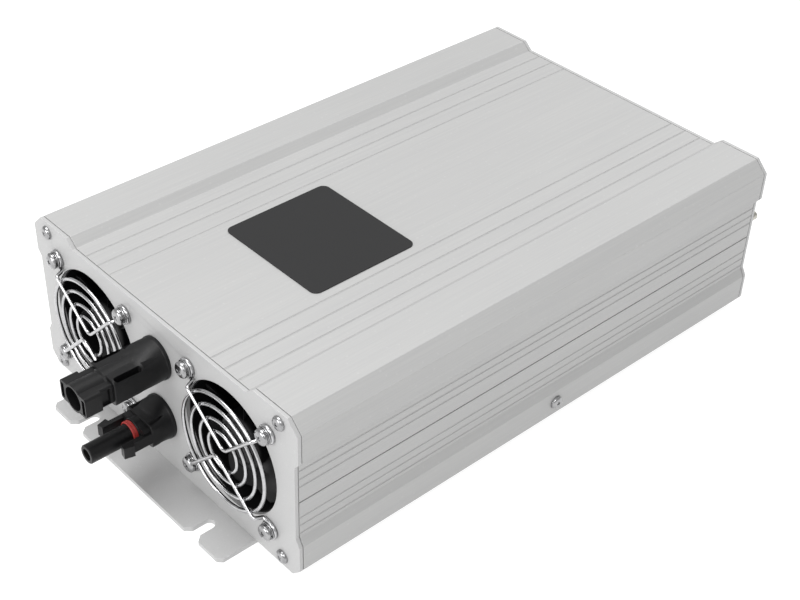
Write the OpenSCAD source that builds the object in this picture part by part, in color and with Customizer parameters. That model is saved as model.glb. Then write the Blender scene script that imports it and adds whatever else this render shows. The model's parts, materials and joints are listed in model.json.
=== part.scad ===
// String inverter: a finned-line aluminium case of two extruded shells and two end panels,
// with cooling fans and DC connectors in front, and the AC outlet, display and switch behind.
// X runs along the front panel to the right, Y runs from the front to the back, Z is up.
// The origin is the centre of the mounting plate's underside.

/* [Case] */
// Width of the case over its side flanges
body_w = 178; // [165:1:220]
// Height of the case without the mounting plate
body_h = 80; // [78:1:100]
// Length of the two extruded shells
shell_len = 270; // [245:1:340]
// Wall of the extruded shells
wall = 2.2; // [1.6:0.1:2.8]
// Height of the seam between the shells above the case's underside
seam_h = 39; // [36:0.5:42]
// Thickness of each end panel
panel_t = 2; // [1.5:0.1:3]
// Depth of the recess along the middle of the top
recess_d = 3.7; // [2:0.1:4.5]
// Half width of the recess at its rim
recess_x = 63; // [56:0.5:66]
// How far the sides step in between the flanges
side_in = 2.2; // [1:0.1:2.6]
// Width of the bevels along the top corners
top_bevel = 5.8; // [4:0.1:6.5]
// Width of the bevels along the bottom corners
low_bevel = 4.6; // [3:0.1:5]
// Width of the fine lines along the extrusions
line_w = 0.6; // [0.4:0.1:1]
// Depth of the fine lines along the extrusions
line_d = 0.2; // [0.1:0.05:0.5]

/* [Mounting plate] */
// Width of the mounting plate
plate_w = 122; // [112:1:140]
// Thickness of the mounting plate
plate_t = 2; // [1.5:0.1:3]
// How far the plate stands out past each end panel
plate_out = 18; // [14:0.5:26]
// Distance between the slots of one end
slot_pitch = 84; // [70:1:96]
// Width of the open slots
slot_w = 5.2; // [4.6:0.1:6.5]
// Depth of the open slots from the plate's edge
slot_len = 11.5; // [8:0.5:12.5]

/* [Fans] */
// Outer size of each square fan frame
fan_size = 60; // [56:1:64]
// Depth of each fan
fan_depth = 25; // [20:1:28]
// Spacing of the fan's screw holes
fan_pitch = 50; // [47:0.5:52]
// Distance of each fan's axis from the middle
fan_x = 46.8; // [44.5:0.1:49]
// Diameter of the panel holes in front of the fans
fan_hole_d = 58; // [50:0.5:59]
// Number of blades of each fan
blades = 7; // [5:1:9]
// Wire diameter of the finger guards
wire_d = 1.6; // [1.2:0.1:2]

/* [Connectors] */
// Height of the upper connector's axis above the case's underside
socket_z = 56; // [52:0.5:58]
// Height of the lower connector's axis above the case's underside
plug_z = 25; // [22:0.5:28]
// Length of the upper connector in front of the panel
socket_len = 39.5; // [34:0.5:44]
// Length of the lower connector in front of the panel
plug_len = 37; // [33:0.5:42]
// Diameter of the connector shanks through the panel
shank_d = 12; // [10:0.5:13]
// Diameter of the lower connector's nose
nose_d = 8.4; // [8:0.1:9]

/* [Fasteners] */
// Thread diameter of the case and fan screws
screw_d = 4; // [3:0.1:4.5]
// Thread diameter of the screws on the boards
small_screw_d = 3; // [2.5:0.1:3.5]
// Radial clearance of a screw in its through hole
hole_gap = 0.25; // [0.15:0.05:0.5]
// Radial clearance of a screw in its thread
thread_gap = 0.05; // [0.02:0.01:0.08]

/* [Rear panel] */
// Width and height of the AC outlet's flange
outlet_size = 46; // [44:0.5:48]
// Diameter of the AC outlet's well
outlet_well_d = 39; // [38:0.5:40]
// Travel of the push buttons
button_travel = 1.2; // [0.6:0.1:1.5]
// Diameter of the push buttons
button_d = 8; // [6:0.5:9]
// Angle between the rocker's two stops
rocker_throw = 20; // [14:1:24]
// Radial clearance of the rocker's pivot
pivot_gap = 0.05; // [0.02:0.01:0.1]

/* [Inside] */
// Thickness of the circuit boards
board_t = 1.6; // [1.2:0.1:2]
// Length of the main board
board_len = 196; // [180:1:210]
// Width of the main board
board_w = 150; // [142:1:152]
// Height of the board's underside above the case's underside
board_z = 12; // [10:0.5:14]
// Thickness of the heat sinks behind the transistors
sink_t = 5; // [4:0.5:6]

/* [Hidden] */
$fn = 48;
eps = 0.01;

silver = [0.78, 0.78, 0.77];
bright = [0.86, 0.86, 0.87];
black = [0.07, 0.07, 0.075];
board_green = [0.07, 0.3, 0.16];
copper = [0.72, 0.42, 0.22];
brass = [0.8, 0.66, 0.34];

// Places along Y of the case's ends, and the case's underside along Z
front_y = -shell_len / 2 - panel_t;
rear_y = shell_len / 2 + panel_t;
z0 = plate_t;

// Section of the case
low_flange_z = 17.1;
low_step = 3.8;
up_flange_z = 60.7;
up_step = 2.6;
recess_run = 4.3;
inner_x = body_w / 2 - side_in - wall;
inner_bevel = 3.4;
mitre = wall * tan(atan2(recess_d, recess_run) / 2);
roof_z = body_h - recess_d;
floor_bevel = 2;
seam_gap = 0.6;
seam_cut = 0.8;
tongue_t = 1.5;
tongue_h = 4;
tongue_slope = 1;
tongue_gap = 0.15;
joint_gap = 0.4;
joint_inset = 0.5;
top_lines = [34.5, 43, 51.5];
side_lines = [8, 12.1, 16.2];
corner_x = body_w / 2 - 10.5;
corner_low = 5;
corner_top = body_h - 5.3;
boss_r = 3.6;
web_t = 3;
case_screw_d = 3.5;
case_head_d = 6.2;
case_head_h = 1.9;
case_screw_len = 12;
side_screw_y = 6;
side_screw_z = 11;
side_screw_len = 10;
label_w = 60;
label_len = 55;
label_t = 0.4;
label_r = 3.5;
label_y = front_y + 57;

// Mounting plate and its fasteners
plate_cut = 2;
slot_mouth = 2.4;
slot_mouth_len = 2.8;
base_x = 45;
base_y = [-100, 0, 100];
base_screw_len = wall + plate_t + 4.4;
csk_h = 1.6;
csk_gap = 0.1;
csk_cross_w = 0.9;
csk_cross_h = 1;
nut_h = 3.2;
nut_af = 7;

// Fans
fan_z = body_h / 2;
fan_wall = 1.5;
flange_t = 3.5;
hub_r = 12.5;
cup_t = 1.3;
cup_front = 2.5;
strut_t = 2;
strut_w = 4;
shaft_r = 1.5;
shaft_lift = 1;
tube_r = 4;
tube_front = 6;
rotor_gap = 1;
stator_gap = 0.6;
stator_play = 7;
stator_base_t = 1.2;
stator_arm_w = 3;
stator_shoe_w = 10;
stator_shoe_t = 1.2;
tip_gap = 0.9;
blade_r = fan_size / 2 - fan_wall - tip_gap;
blade_t = 1.3;
blade_bend = 20;
blade_front = 3;
blade_back = 6;
blade_rise = fan_depth - blade_front - blade_back;
blade_reach = 6;
blade_half_w = 7;
ring_r = [9, 14.5, 20.5, 26];
ring_z = 3.4;
ring_touch = 0.02;
guard_z = ring_z + wire_d + ring_touch;
apex = 2.4;
apex_x = 2.6;
apex_round = [[2.6, 2.2], [1, 1.1]];
eye_r = 3.1;
eye_turn = 300;
eye_steps = 10;
eye_lift = 0.05;
eye_z = wire_d / 2 + eye_lift;
washer_r = 3.9;
jog_start = washer_r + 1.2;
jog_end = washer_r + 3.8;
jog_side = 0.6;
washer_z = wire_d + 2 * eye_lift;
washer_t = 0.6;
spring_t = 0.7;
spring_r = 3.5;
spring_slit = 0.6;
fan_head_z = washer_z + washer_t + spring_t;
fan_head_d = 7.2;
fan_head_h = 1.8;
thread_out = 1;
fan_screw_len = fan_head_z + panel_t + fan_depth + nut_h + thread_out;

// Connectors
shank_len = panel_t + 14;
contact_back = panel_t + 20;
contact_r = 2.4;
pin_r = 1.5;
flange_rim = 1.5;
socket_flare_r = 9.7;
socket_flare_len = 13;
socket_neck_r = 7;
socket_bore_r = 5;
socket_tube_r = 6.4;
socket_w = 18;
socket_h = 12.4;
socket_mouth_h = 9.6;
socket_round = 0.2;
socket_body_len = 26;
socket_waist_len = 7;
socket_waist_r = 7.6;
socket_bore_len = 24;
socket_pin_in = 9;
socket_pin_hole = 10;
pocket_x = 7.4;
pocket_w = 1.6;
pocket_h = 7.2;
pocket_len = 27;
side_window_h = 14;
side_window_len = 12.4;
plug_flare_r = 10.2;
plug_flare_len = 8;
plug_neck_r = 7.6;
plug_block = [18.6, 12, 11];
plug_block_r = 10;
plug_core_r = 5.6;
plug_pin_in = 3;
prong_x = 7;
prong_z = 10;
prong_w = 2;
prong_h = 5.2;
prong_len = 17;
hook_out = 1.3;
hook_len = 3.5;
nose_base = 15;
seal_w = 2.4;
seal_seat = 0.3;
seal_t = 0.6;
nose_bore_r = 2.7;
lock_nut_h = 5;
lock_nut_af = 17;
lead_r = 2.4;

// Boards and what stands on them
floor_z = z0 + wall;
board_top = z0 + board_z + board_t;
sink_step = 2;
sink_face = inner_x - sink_step - sink_t;
sink_foot = 18;
sink_foot_t = 2.8;
sink_h = 52;
sink_gap = 0.2;
sink_touch = 0.05;
fin_pitch = 4;
fin_len = 8;
fin_t = 1.6;
transistor = [5, 16, 21];
transistor_y = [-80, -50, -20, 30, 56, 82];
transistor_lift = 4;
leg_pitch = 5.4;
leg_w = 1.2;
leg_t = 0.8;
pad_t = 0.5;
pad_rim = 1;
small_head_d = 5.5;
small_head_h = 1.8;
board_screw_len = 8;
standoff_r = 3;
standoff_x = 60;
standoff_y = board_len / 2 - 8;
inductor_r = 22;
inductor_in = 12;
inductor_h = 16;
winding_t = 2;
winding_gap = 0.1;
winding_turn = 300;
inductor_places = [[-38, -58], [38, -58], [-38, 66]];
cap_r = 15;
cap_h = 45;
cap_places = [for (x = [-33, 0, 33], y = [-8, 25]) [x, y]];
film_places = [[0, -52], [14, 60], [44, 60]];
cap_rim = 1;
film_size = [26, 14, 24];
relay_places = [[18, 84], [44, 84]];
relay_size = [20, 16, 20];
control_size = [board_t, 60, 36];
control_at = [54, 0];
chip_size = [1, 14, 14];
plug_size = [3, 12, 7];
block_size = [22, 12, 16];
dc_block_y = -board_len / 2 + 8;
ac_block_x = -8;
ac_block_y = board_len / 2 - 8;
block_entry = 6;
block_hole_r = 2.5;
block_hole_h = 3;
block_wire = 5.5;
lead_end = 0.1;
ac_lead_r = 1.4;
fan_lead_r = 1;

// Rear panel
outlet_x = -50;
outlet_z = 40;
outlet_flange_t = 4;
outlet_well_r = outlet_well_d / 2;
outlet_wall = 2;
outlet_depth = 17.5;
outlet_floor = 2.5;
outlet_block = [34, 22, 15];
outlet_pitch = 19;
sleeve_r = 3.2;
sleeve_bore = 2.5;
sleeve_len = 16;
outlet_screw_at = outlet_size / 2 - 4;
outlet_screw_len = 10;
clip_w = 6;
clip_t = 0.8;
clip_len = 11;
clip_nib = 1.4;
switch_x = -11;
switch_z = 40;
switch_w = 24;
switch_h = 32;
switch_bezel = 2;
switch_wall = 1.5;
switch_deep = 22;
cavity_deep = 12;
switch_lip = 1.25;
switch_box_w = switch_w - 2 * switch_lip;
switch_box_h = switch_h - 2 * switch_lip;
rocker_w = 17.9;
rocker_gap = 4.1;
pivot_z = -3;
pivot_r = 1.4;
display_x = 38;
display_z = 46;
bezel_w = 64;
bezel_h = 30;
bezel_t = 2.5;
collar_w = 57.6;
collar_h = 23.6;
collar_deep = panel_t + 2;
window_w = 53.8;
window_h = 19.8;
window_t = 1.2;
view_w = 50;
view_h = 16;
window_gap = 0.05;
lcd_size = [56, 22];
lcd_t = 5;
pcb_w = 68;
pcb_top = 14;
pcb_low = -31;
pillar_r = 2.4;
pillar_x = 31.6;
pillar_y = [10, -28];
module_z = collar_deep + lcd_t;
button_y = -24;
button_pitch = 15;
button_gap = 0.3;
button_proud = 2;
button_collar = 1;
switch_body = [6, 6, 4];
plunger_r = 1.5;
plunger_hole = 2.5;
plunger_in = 1;
stud_x = 78;
stud_z = 40;
stud_r = 3;
stud_head_af = 8;
stud_head_h = 3;
stud_free_r = 2.4;
stud_free_len = 9;
stud_nut_af = 10;
stud_nut_h = 4;
stud_washer_r = 6;
stud_washer_t = 1;
vent_w = 3;
vent_h = 8;
vent_pitch = 6;
vent_z = 64;
vent_count = 23;

// Right half of the case's outline from the underside to the top, drawn in by g
function half_outline(g) = [
  [body_w / 2 - low_bevel, g],
  [body_w / 2 - g, low_bevel],
  [body_w / 2 - g, low_flange_z],
  [body_w / 2 - side_in - g, low_flange_z + low_step],
  [body_w / 2 - side_in - g, up_flange_z - up_step],
  [body_w / 2 - g, up_flange_z],
  [body_w / 2 - g, body_h - top_bevel],
  [body_w / 2 - top_bevel, body_h - g],
  [recess_x, body_h - g],
  [recess_x - recess_run, roof_z - g]
];
// Right half of the hollow inside the shells
function half_hollow() = [
  [inner_x - floor_bevel, wall],
  [inner_x, wall + floor_bevel],
  [inner_x, body_h - top_bevel],
  [inner_x - inner_bevel, body_h - wall],
  [recess_x + mitre, body_h - wall],
  [recess_x - recess_run + mitre, roof_z - wall]
];
function mirrored(p) = concat(p, [for (i = [len(p) - 1 : -1 : 0]) [-p[i][0], p[i][1]]]);

// A frame on the front panel: children's +Z points out of the panel, +Y points up
module at_front(x, z) {
  translate([x, front_y, z0 + z]) rotate([90, 0, 0]) children();
}
// The same on the rear panel
module at_rear(x, z) {
  translate([x, rear_y, z0 + z]) rotate([90, 0, 180]) children();
}
// A profile drawn in X and Z, extruded along Y to a length, centred on Y = 0
module along_y(len) {
  translate([0, len / 2, z0]) rotate([90, 0, 0]) linear_extrude(len) children();
}
module mirror_x() {
  children();
  mirror([1, 0, 0]) children();
}
// A box centred in X and Y that rises from z = 0
module block(size) {
  translate([-size[0] / 2, -size[1] / 2, 0]) cube(size);
}
// A cross-recessed pan head with its seat at z = 0 and a plain shank below
module pan_screw(d, head_d, head_h, len) {
  difference() {
    union() {
      cylinder(h = head_h * 0.5, d = head_d);
      translate([0, 0, head_h * 0.5]) cylinder(h = head_h * 0.5, d1 = head_d, d2 = head_d * 0.68);
    }
    for (a = [0, 90]) rotate([0, 0, a])
      translate([0, 0, head_h * 0.4]) block([head_d * 0.58, head_d * 0.15, head_h]);
  }
  translate([0, 0, -len]) cylinder(h = len + eps, d = d);
}
// A round wire along a list of points. It never runs parallel to the direction "up".
function unit(v) = v / norm(v);
function heading(p, i) = unit(p[min(i + 1, len(p) - 1)] - p[max(i - 1, 0)]);
module wire(p, r, up, sides = 8) {
  last = len(p) - 1;
  rim = [for (i = [0 : last]) let (t = heading(p, i), u = unit(cross(t, up)), w = cross(u, t))
    for (k = [0 : sides - 1]) p[i] + r * (cos(k * 360 / sides) * u + sin(k * 360 / sides) * w)];
  skin = [for (i = [0 : last - 1], k = [0 : sides - 1]) let (n = (k + 1) % sides)
    [i * sides + k, i * sides + n, (i + 1) * sides + n, (i + 1) * sides + k]];
  caps = [[for (k = [sides - 1 : -1 : 0]) k], [for (k = [0 : sides - 1]) last * sides + k]];
  polyhedron(rim, concat(skin, caps));
}
// Points on an arc in the plane of constant height z, about a centre
function arc(centre, r, a0, a1, steps, z) =
  [for (i = [0 : steps]) let (a = a0 + (a1 - a0) * i / steps)
    [centre[0] + r * cos(a), centre[1] + r * sin(a), z]];
module ring(r_in, r_out, h) {
  difference() {
    cylinder(h = h, r = r_out);
    translate([0, 0, -eps]) cylinder(h = h + 2 * eps, r = r_in);
  }
}
module hex_nut(af, h, bore_r) {
  difference() {
    cylinder(h = h, d = af / cos(30), $fn = 6);
    translate([0, 0, -eps]) cylinder(h = h + 2 * eps, r = bore_r);
  }
}
module four(x, y) {
  for (i = [-1, 1], j = [-1, 1]) translate([i * x, j * y, 0]) children();
}

// ---- Case ----
module open_slot() {
  // round inner end, straight sides and a widened mouth, on the plate's edge at y = 0
  inner = slot_len - slot_w / 2;
  mouth_x = slot_w / 2 + slot_mouth;
  translate([0, inner, 0]) cylinder(h = plate_t + 2 * eps, d = slot_w);
  translate([-slot_w / 2, -eps, 0]) cube([slot_w, inner + eps, plate_t + 2 * eps]);
  linear_extrude(plate_t + 2 * eps)
    polygon([[-mouth_x, -eps], [mouth_x, -eps], [slot_w / 2, slot_mouth_len], [-slot_w / 2, slot_mouth_len]]);
}
module base_plate() {
  len = shell_len + 2 * panel_t + 2 * plate_out;
  cut = plate_cut;
  color(silver) difference() {
    linear_extrude(plate_t) polygon([
      [-plate_w / 2 + cut, -len / 2], [plate_w / 2 - cut, -len / 2], [plate_w / 2, -len / 2 + cut],
      [plate_w / 2, len / 2 - cut], [plate_w / 2 - cut, len / 2], [-plate_w / 2 + cut, len / 2],
      [-plate_w / 2, len / 2 - cut], [-plate_w / 2, -len / 2 + cut]
    ]);
    for (x = [-1, 1] * slot_pitch / 2, turn = [0, 180])
      rotate([0, 0, turn]) translate([x, -len / 2, -eps]) open_slot();
    for (x = [-base_x, base_x], y = base_y) translate([x, y, 0]) {
      translate([0, 0, -eps]) cylinder(h = csk_h + eps, r1 = screw_d, r2 = screw_d / 2 + hole_gap);
      translate([0, 0, csk_h - eps]) cylinder(h = plate_t, r = screw_d / 2 + hole_gap);
    }
  }
}
module base_screws() {
  color(bright) for (x = [-base_x, base_x], y = base_y) translate([x, y, 0]) difference() {
    union() {
      translate([0, 0, csk_gap]) cylinder(h = csk_h - csk_gap, r1 = screw_d - csk_gap, r2 = screw_d / 2);
      translate([0, 0, csk_h - eps]) cylinder(h = base_screw_len - csk_h, d = screw_d);
    }
    for (a = [0, 90]) rotate([0, 0, a]) block([screw_d, csk_cross_w, csk_cross_h]);
  }
}
module hex_nuts() {
  color(bright) {
    for (x = [-base_x, base_x], y = base_y) translate([x, y, floor_z])
      hex_nut(nut_af, nut_h, screw_d / 2 + thread_gap);
    for (side = [-1, 1]) at_front(side * fan_x, fan_z) four(fan_pitch / 2, fan_pitch / 2)
      translate([0, 0, -panel_t - fan_depth - nut_h]) hex_nut(nut_af, nut_h, screw_d / 2 + thread_gap);
  }
}
module corner_boss(z, up) {
  // a screw channel at x = corner_x with a web to the wall above or below it
  translate([corner_x, z]) circle(r = boss_r);
  translate([corner_x - web_t / 2, up ? z : wall / 2])
    square([web_t, up ? body_h - wall / 2 - z : z - wall / 2]);
}
module line_cuts(zs) {
  for (z = zs) translate([body_w / 2 - side_in - line_d, z - line_w / 2]) square([line_d + 1, line_w]);
}
module lower_section() {
  difference() {
    union() {
      intersection() {
        difference() {
          polygon(mirrored(half_outline(0)));
          polygon(mirrored(half_hollow()));
        }
        translate([-body_w, -1]) square([2 * body_w, seam_h + 1]);
      }
      mirror_x() corner_boss(corner_low, false);
    }
    mirror_x() {
      translate([corner_x, corner_low]) circle(r = case_screw_d / 2 + thread_gap);
      translate([body_w / 2 - side_in - seam_cut, seam_h - seam_gap / 2]) square([seam_cut + 1, seam_gap]);
      line_cuts([for (l = side_lines) seam_h - l]);
    }
  }
}
module upper_section() {
  difference() {
    union() {
      difference() {
        intersection() {
          polygon(mirrored(half_outline(0)));
          translate([-body_w, seam_h]) square([2 * body_w, body_h]);
        }
        polygon(mirrored(half_hollow()));
      }
      mirror_x() {
        corner_boss(corner_top, true);
        polygon([
          [inner_x + eps, seam_h], [inner_x + eps, seam_h + tongue_h],
          [inner_x - tongue_t, seam_h + tongue_h - tongue_slope],
          [inner_x - tongue_gap - tongue_t, seam_h - tongue_h], [inner_x - tongue_gap, seam_h - tongue_h],
          [inner_x - tongue_gap, seam_h]
        ]);
      }
    }
    mirror_x() {
      translate([corner_x, corner_top]) circle(r = case_screw_d / 2 + thread_gap);
      translate([body_w / 2 - side_in - seam_cut, seam_h - seam_gap / 2]) square([seam_cut + 1, seam_gap]);
      line_cuts([for (l = side_lines) seam_h + l]);
      for (x = top_lines) translate([x - line_w / 2, roof_z - line_d]) square([line_w, line_d + 1]);
    }
  }
}
module lower_shell() {
  color(silver) difference() {
    along_y(shell_len) lower_section();
    for (x = [-base_x, base_x], y = base_y) translate([x, y, z0 - eps])
      cylinder(h = wall + 2 * eps, r = screw_d / 2 + hole_gap);
    mirror_x() translate([inner_x - 1, side_screw_y, z0 + side_screw_z]) rotate([0, 90, 0])
      cylinder(h = body_w, r = case_screw_d / 2 + hole_gap);
  }
}
module upper_shell() {
  color(silver) along_y(shell_len) upper_section();
}
module end_plate() {
  // a panel in the case's outline, with a narrower back face that leaves a thin joint line
  translate([0, 0, -panel_t + joint_gap]) linear_extrude(panel_t - joint_gap) polygon(mirrored(half_outline(0)));
  translate([0, 0, -panel_t]) linear_extrude(joint_gap + eps) polygon(mirrored(half_outline(joint_inset)));
}
module corner_holes() {
  for (x = [-corner_x, corner_x], z = [corner_low, corner_top]) translate([x, z, -panel_t - eps])
    cylinder(h = panel_t + 2 * eps, r = case_screw_d / 2 + hole_gap);
}
module through_panel(r) {
  translate([0, 0, -panel_t - eps]) cylinder(h = panel_t + 2 * eps, r = r);
}
module front_panel() {
  color(silver) at_front(0, 0) difference() {
    end_plate();
    corner_holes();
    for (side = [-1, 1]) translate([side * fan_x, fan_z, 0]) {
      through_panel(fan_hole_d / 2);
      four(fan_pitch / 2, fan_pitch / 2) through_panel(screw_d / 2 + hole_gap);
    }
    for (z = [socket_z, plug_z]) translate([0, z, 0]) through_panel(shank_d / 2 + hole_gap);
  }
}
module rear_panel() {
  color(silver) at_rear(0, 0) difference() {
    end_plate();
    corner_holes();
    translate([-outlet_x, outlet_z, 0]) {
      through_panel(outlet_well_r + outlet_wall + hole_gap);
      four(outlet_screw_at, outlet_screw_at) through_panel(small_screw_d / 2 + thread_gap);
    }
    translate([-switch_x, switch_z, -panel_t - eps])
      block([switch_box_w + 2 * hole_gap, switch_box_h + 2 * hole_gap, panel_t + 2 * eps]);
    translate([-display_x, display_z, -panel_t - eps])
      block([collar_w + 2 * hole_gap, collar_h + 2 * hole_gap, panel_t + 2 * eps]);
    for (i = [-1.5 : 1 : 1.5]) translate([-display_x + i * button_pitch, display_z + button_y, 0])
      through_panel(button_d / 2 + button_gap);
    translate([-stud_x, stud_z, 0]) through_panel(stud_r + hole_gap);
    for (i = [0 : vent_count - 1]) translate([(i - (vent_count - 1) / 2) * vent_pitch, vent_z, -panel_t - eps])
      translate([-vent_w / 2, 0, 0]) cube([vent_w, vent_h, panel_t + 2 * eps]);
  }
}
module corner_screws() {
  for (x = [-corner_x, corner_x], z = [corner_low, corner_top]) translate([x, z, 0])
    pan_screw(case_screw_d, case_head_d, case_head_h, case_screw_len);
}
module panel_screws() {
  color(bright) {
    at_front(0, 0) corner_screws();
    at_rear(0, 0) corner_screws();
  }
}
module side_screws() {
  color(bright) mirror_x() translate([body_w / 2, side_screw_y, z0 + side_screw_z]) rotate([0, 90, 0])
    pan_screw(case_screw_d, case_head_d, case_head_h, side_screw_len);
}
module name_plate() {
  w = label_w / 2 - label_r;
  l = label_len - 2 * label_r;
  color([0.2, 0.2, 0.2]) translate([0, label_y + label_r, z0 + roof_z]) {
    for (x = [-w, w], y = [0, l]) translate([x, y, 0]) cylinder(h = label_t, r = label_r);
    translate([-w - label_r, 0, 0]) cube([label_w, l, label_t]);
    translate([-w, -label_r, 0]) cube([2 * w, label_len, label_t]);
  }
}

// ---- Fans: local z = 0 is the panel's front face ----
module fan_frame() {
  half = fan_size / 2;
  translate([0, 0, -panel_t - fan_depth]) {
    difference() {
      union() {
        block([fan_size, fan_size, flange_t]);
        translate([0, 0, fan_depth - flange_t]) block([fan_size, fan_size, flange_t]);
        cylinder(h = fan_depth, r = half - 0.05);
      }
      translate([0, 0, -eps]) cylinder(h = fan_depth + 2 * eps, r = half - fan_wall);
      four(fan_pitch / 2, fan_pitch / 2) translate([0, 0, -eps])
        cylinder(h = fan_depth + 2 * eps, r = screw_d / 2 + hole_gap);
    }
    cylinder(h = strut_t, r = hub_r + fan_wall / 3);
    for (a = [45 : 90 : 315]) rotate([0, 0, a]) translate([hub_r - 1, -strut_w / 2, 0])
      cube([half - fan_wall - hub_r + 1.5, strut_w, strut_t]);
    difference() {
      cylinder(h = fan_depth - tube_front, r = tube_r);
      translate([0, 0, 1]) cylinder(h = fan_depth, r = shaft_r + pivot_gap);
    }
  }
}
module fan_motor() {
  // stator with four wound poles, standing on the hub and round the bearing tube
  r_out = hub_r - cup_t - stator_gap;
  h = fan_depth - strut_t - cup_front - cup_t - stator_play;
  translate([0, 0, -panel_t - fan_depth + strut_t]) {
    ring(tube_r + thread_gap, r_out - 1, stator_base_t);
    translate([0, 0, stator_base_t]) {
      ring(tube_r + thread_gap, tube_r + stator_arm_w / 2, h);
      for (a = [0 : 90 : 270]) rotate([0, 0, a]) {
        translate([tube_r + 1, -stator_arm_w / 2, 1]) cube([r_out - tube_r - 1.6, stator_arm_w, h - 2]);
        intersection() {
          ring(r_out - stator_shoe_t, r_out, h);
          translate([0, -stator_shoe_w / 2, 0]) cube([r_out + 1, stator_shoe_w, h]);
        }
      }
    }
  }
}
module fan_blade() {
  // a curved vane, cut from a thin tube whose axis is radial
  mid_z = -panel_t - blade_front - blade_rise / 2;
  half_chord = norm([blade_reach, blade_rise / 2]);
  back = sqrt(blade_bend * blade_bend - half_chord * half_chord) / half_chord;
  translate([0, back * blade_rise / 2, mid_z - back * blade_reach]) rotate([0, 90, 0])
    difference() {
      cylinder(h = blade_r + 1, r = blade_bend + blade_t / 2);
      translate([0, 0, -eps]) cylinder(h = blade_r + 2, r = blade_bend - blade_t / 2);
    }
}
module fan_rotor() {
  cup_len = fan_depth - cup_front - strut_t - rotor_gap;
  blade_z = -panel_t - blade_front - blade_rise;
  top = -panel_t - cup_front;
  difference() {
    translate([0, 0, top - cup_len]) cylinder(h = cup_len, r = hub_r);
    translate([0, 0, top - cup_len - eps]) cylinder(h = cup_len - cup_t, r = hub_r - cup_t);
  }
  translate([0, 0, -panel_t - fan_depth + strut_t + shaft_lift])
    cylinder(h = fan_depth - strut_t - shaft_lift - cup_front - cup_t / 2, r = shaft_r);
  for (i = [0 : blades - 1]) rotate([0, 0, i * 360 / blades]) intersection() {
    fan_blade();
    translate([0, 0, blade_z]) ring(hub_r - cup_t / 3, blade_r, blade_rise);
    translate([0, -blade_half_w, blade_z]) cube([blade_r + 1, 2 * blade_half_w, blade_rise]);
  }
}
// One bent wire: an eye round a screw, a jog out to the rings' front, an arm, the apex, and back
function guard_half(side) =
  let (ear = fan_pitch / 2, slope = atan2(ear - apex, ear - side * apex_x))
  concat(
    [for (q = arc([ear, ear], eye_r, slope + 170, slope + 170 - eye_turn, eye_steps, eye_z))
      [side * q[0], q[1], q[2]]],
    [[side * (ear - jog_start * cos(slope) + jog_side), ear - jog_start * sin(slope) - jog_side, eye_z],
     [side * (ear - jog_end * cos(slope)), ear - jog_end * sin(slope), guard_z]],
    [for (q = apex_round) [apex_x + side * q[0], apex + q[1], guard_z]]
  );
function reversed(p) = [for (i = [len(p) - 1 : -1 : 0]) p[i]];
module fan_guard() {
  for (r = ring_r) translate([0, 0, ring_z]) rotate_extrude() translate([r, 0]) circle(d = wire_d, $fn = 24);
  for (turn = [0, 180]) rotate([0, 0, turn])
    wire(concat(guard_half(-1), reversed(guard_half(1))), wire_d / 2, [0, 0, 1]);
}
module fan_left_frame() { color(black) at_front(-fan_x, fan_z) fan_frame(); }
module fan_right_frame() { color(black) at_front(fan_x, fan_z) fan_frame(); }
module fan_left_motor() { color(copper) at_front(-fan_x, fan_z) fan_motor(); }
module fan_right_motor() { color(copper) at_front(fan_x, fan_z) fan_motor(); }
module fan_left_rotor() { color(black) at_front(-fan_x, fan_z) fan_rotor(); }
module fan_right_rotor() { color(black) at_front(fan_x, fan_z) fan_rotor(); }
module fan_left_guard() { color(bright) at_front(-fan_x, fan_z) fan_guard(); }
module fan_right_guard() { color(bright) at_front(fan_x, fan_z) fan_guard(); }
module at_fan_ears(z) {
  for (side = [-1, 1]) at_front(side * fan_x, fan_z) four(fan_pitch / 2, fan_pitch / 2)
    translate([0, 0, z]) children();
}
module fan_screws() {
  color(bright) at_fan_ears(fan_head_z) pan_screw(screw_d, fan_head_d, fan_head_h, fan_screw_len);
}
module fan_washers() {
  color(bright) at_fan_ears(washer_z) ring(screw_d / 2 + hole_gap, washer_r, washer_t);
}
module fan_spring_washers() {
  color(bright) at_fan_ears(washer_z + washer_t) difference() {
    ring(screw_d / 2 + hole_gap, spring_r, spring_t);
    translate([screw_d / 2, -spring_slit / 2, -eps]) rotate([0, 0, 20])
      cube([spring_r, spring_slit, spring_t + 2 * eps]);
  }
}
module fan_leads() {
  // one twin lead from each fan frame to the front edge of the main board
  y_fan = front_y + panel_t + fan_depth;
  color(black) for (s = [-1, 1]) wire([
    [s * 30, y_fan + lead_end, z0 + 14], [s * 30, y_fan + 4, z0 + 15],
    [s * 28.6, -board_len / 2 - 2, board_top + 3], [s * 28, -board_len / 2 + 2, board_top + 3],
    [s * 28, -board_len / 2 + 5, board_top + 1.6]
  ], fan_lead_r, [1, 0, 0]);
}

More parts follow.
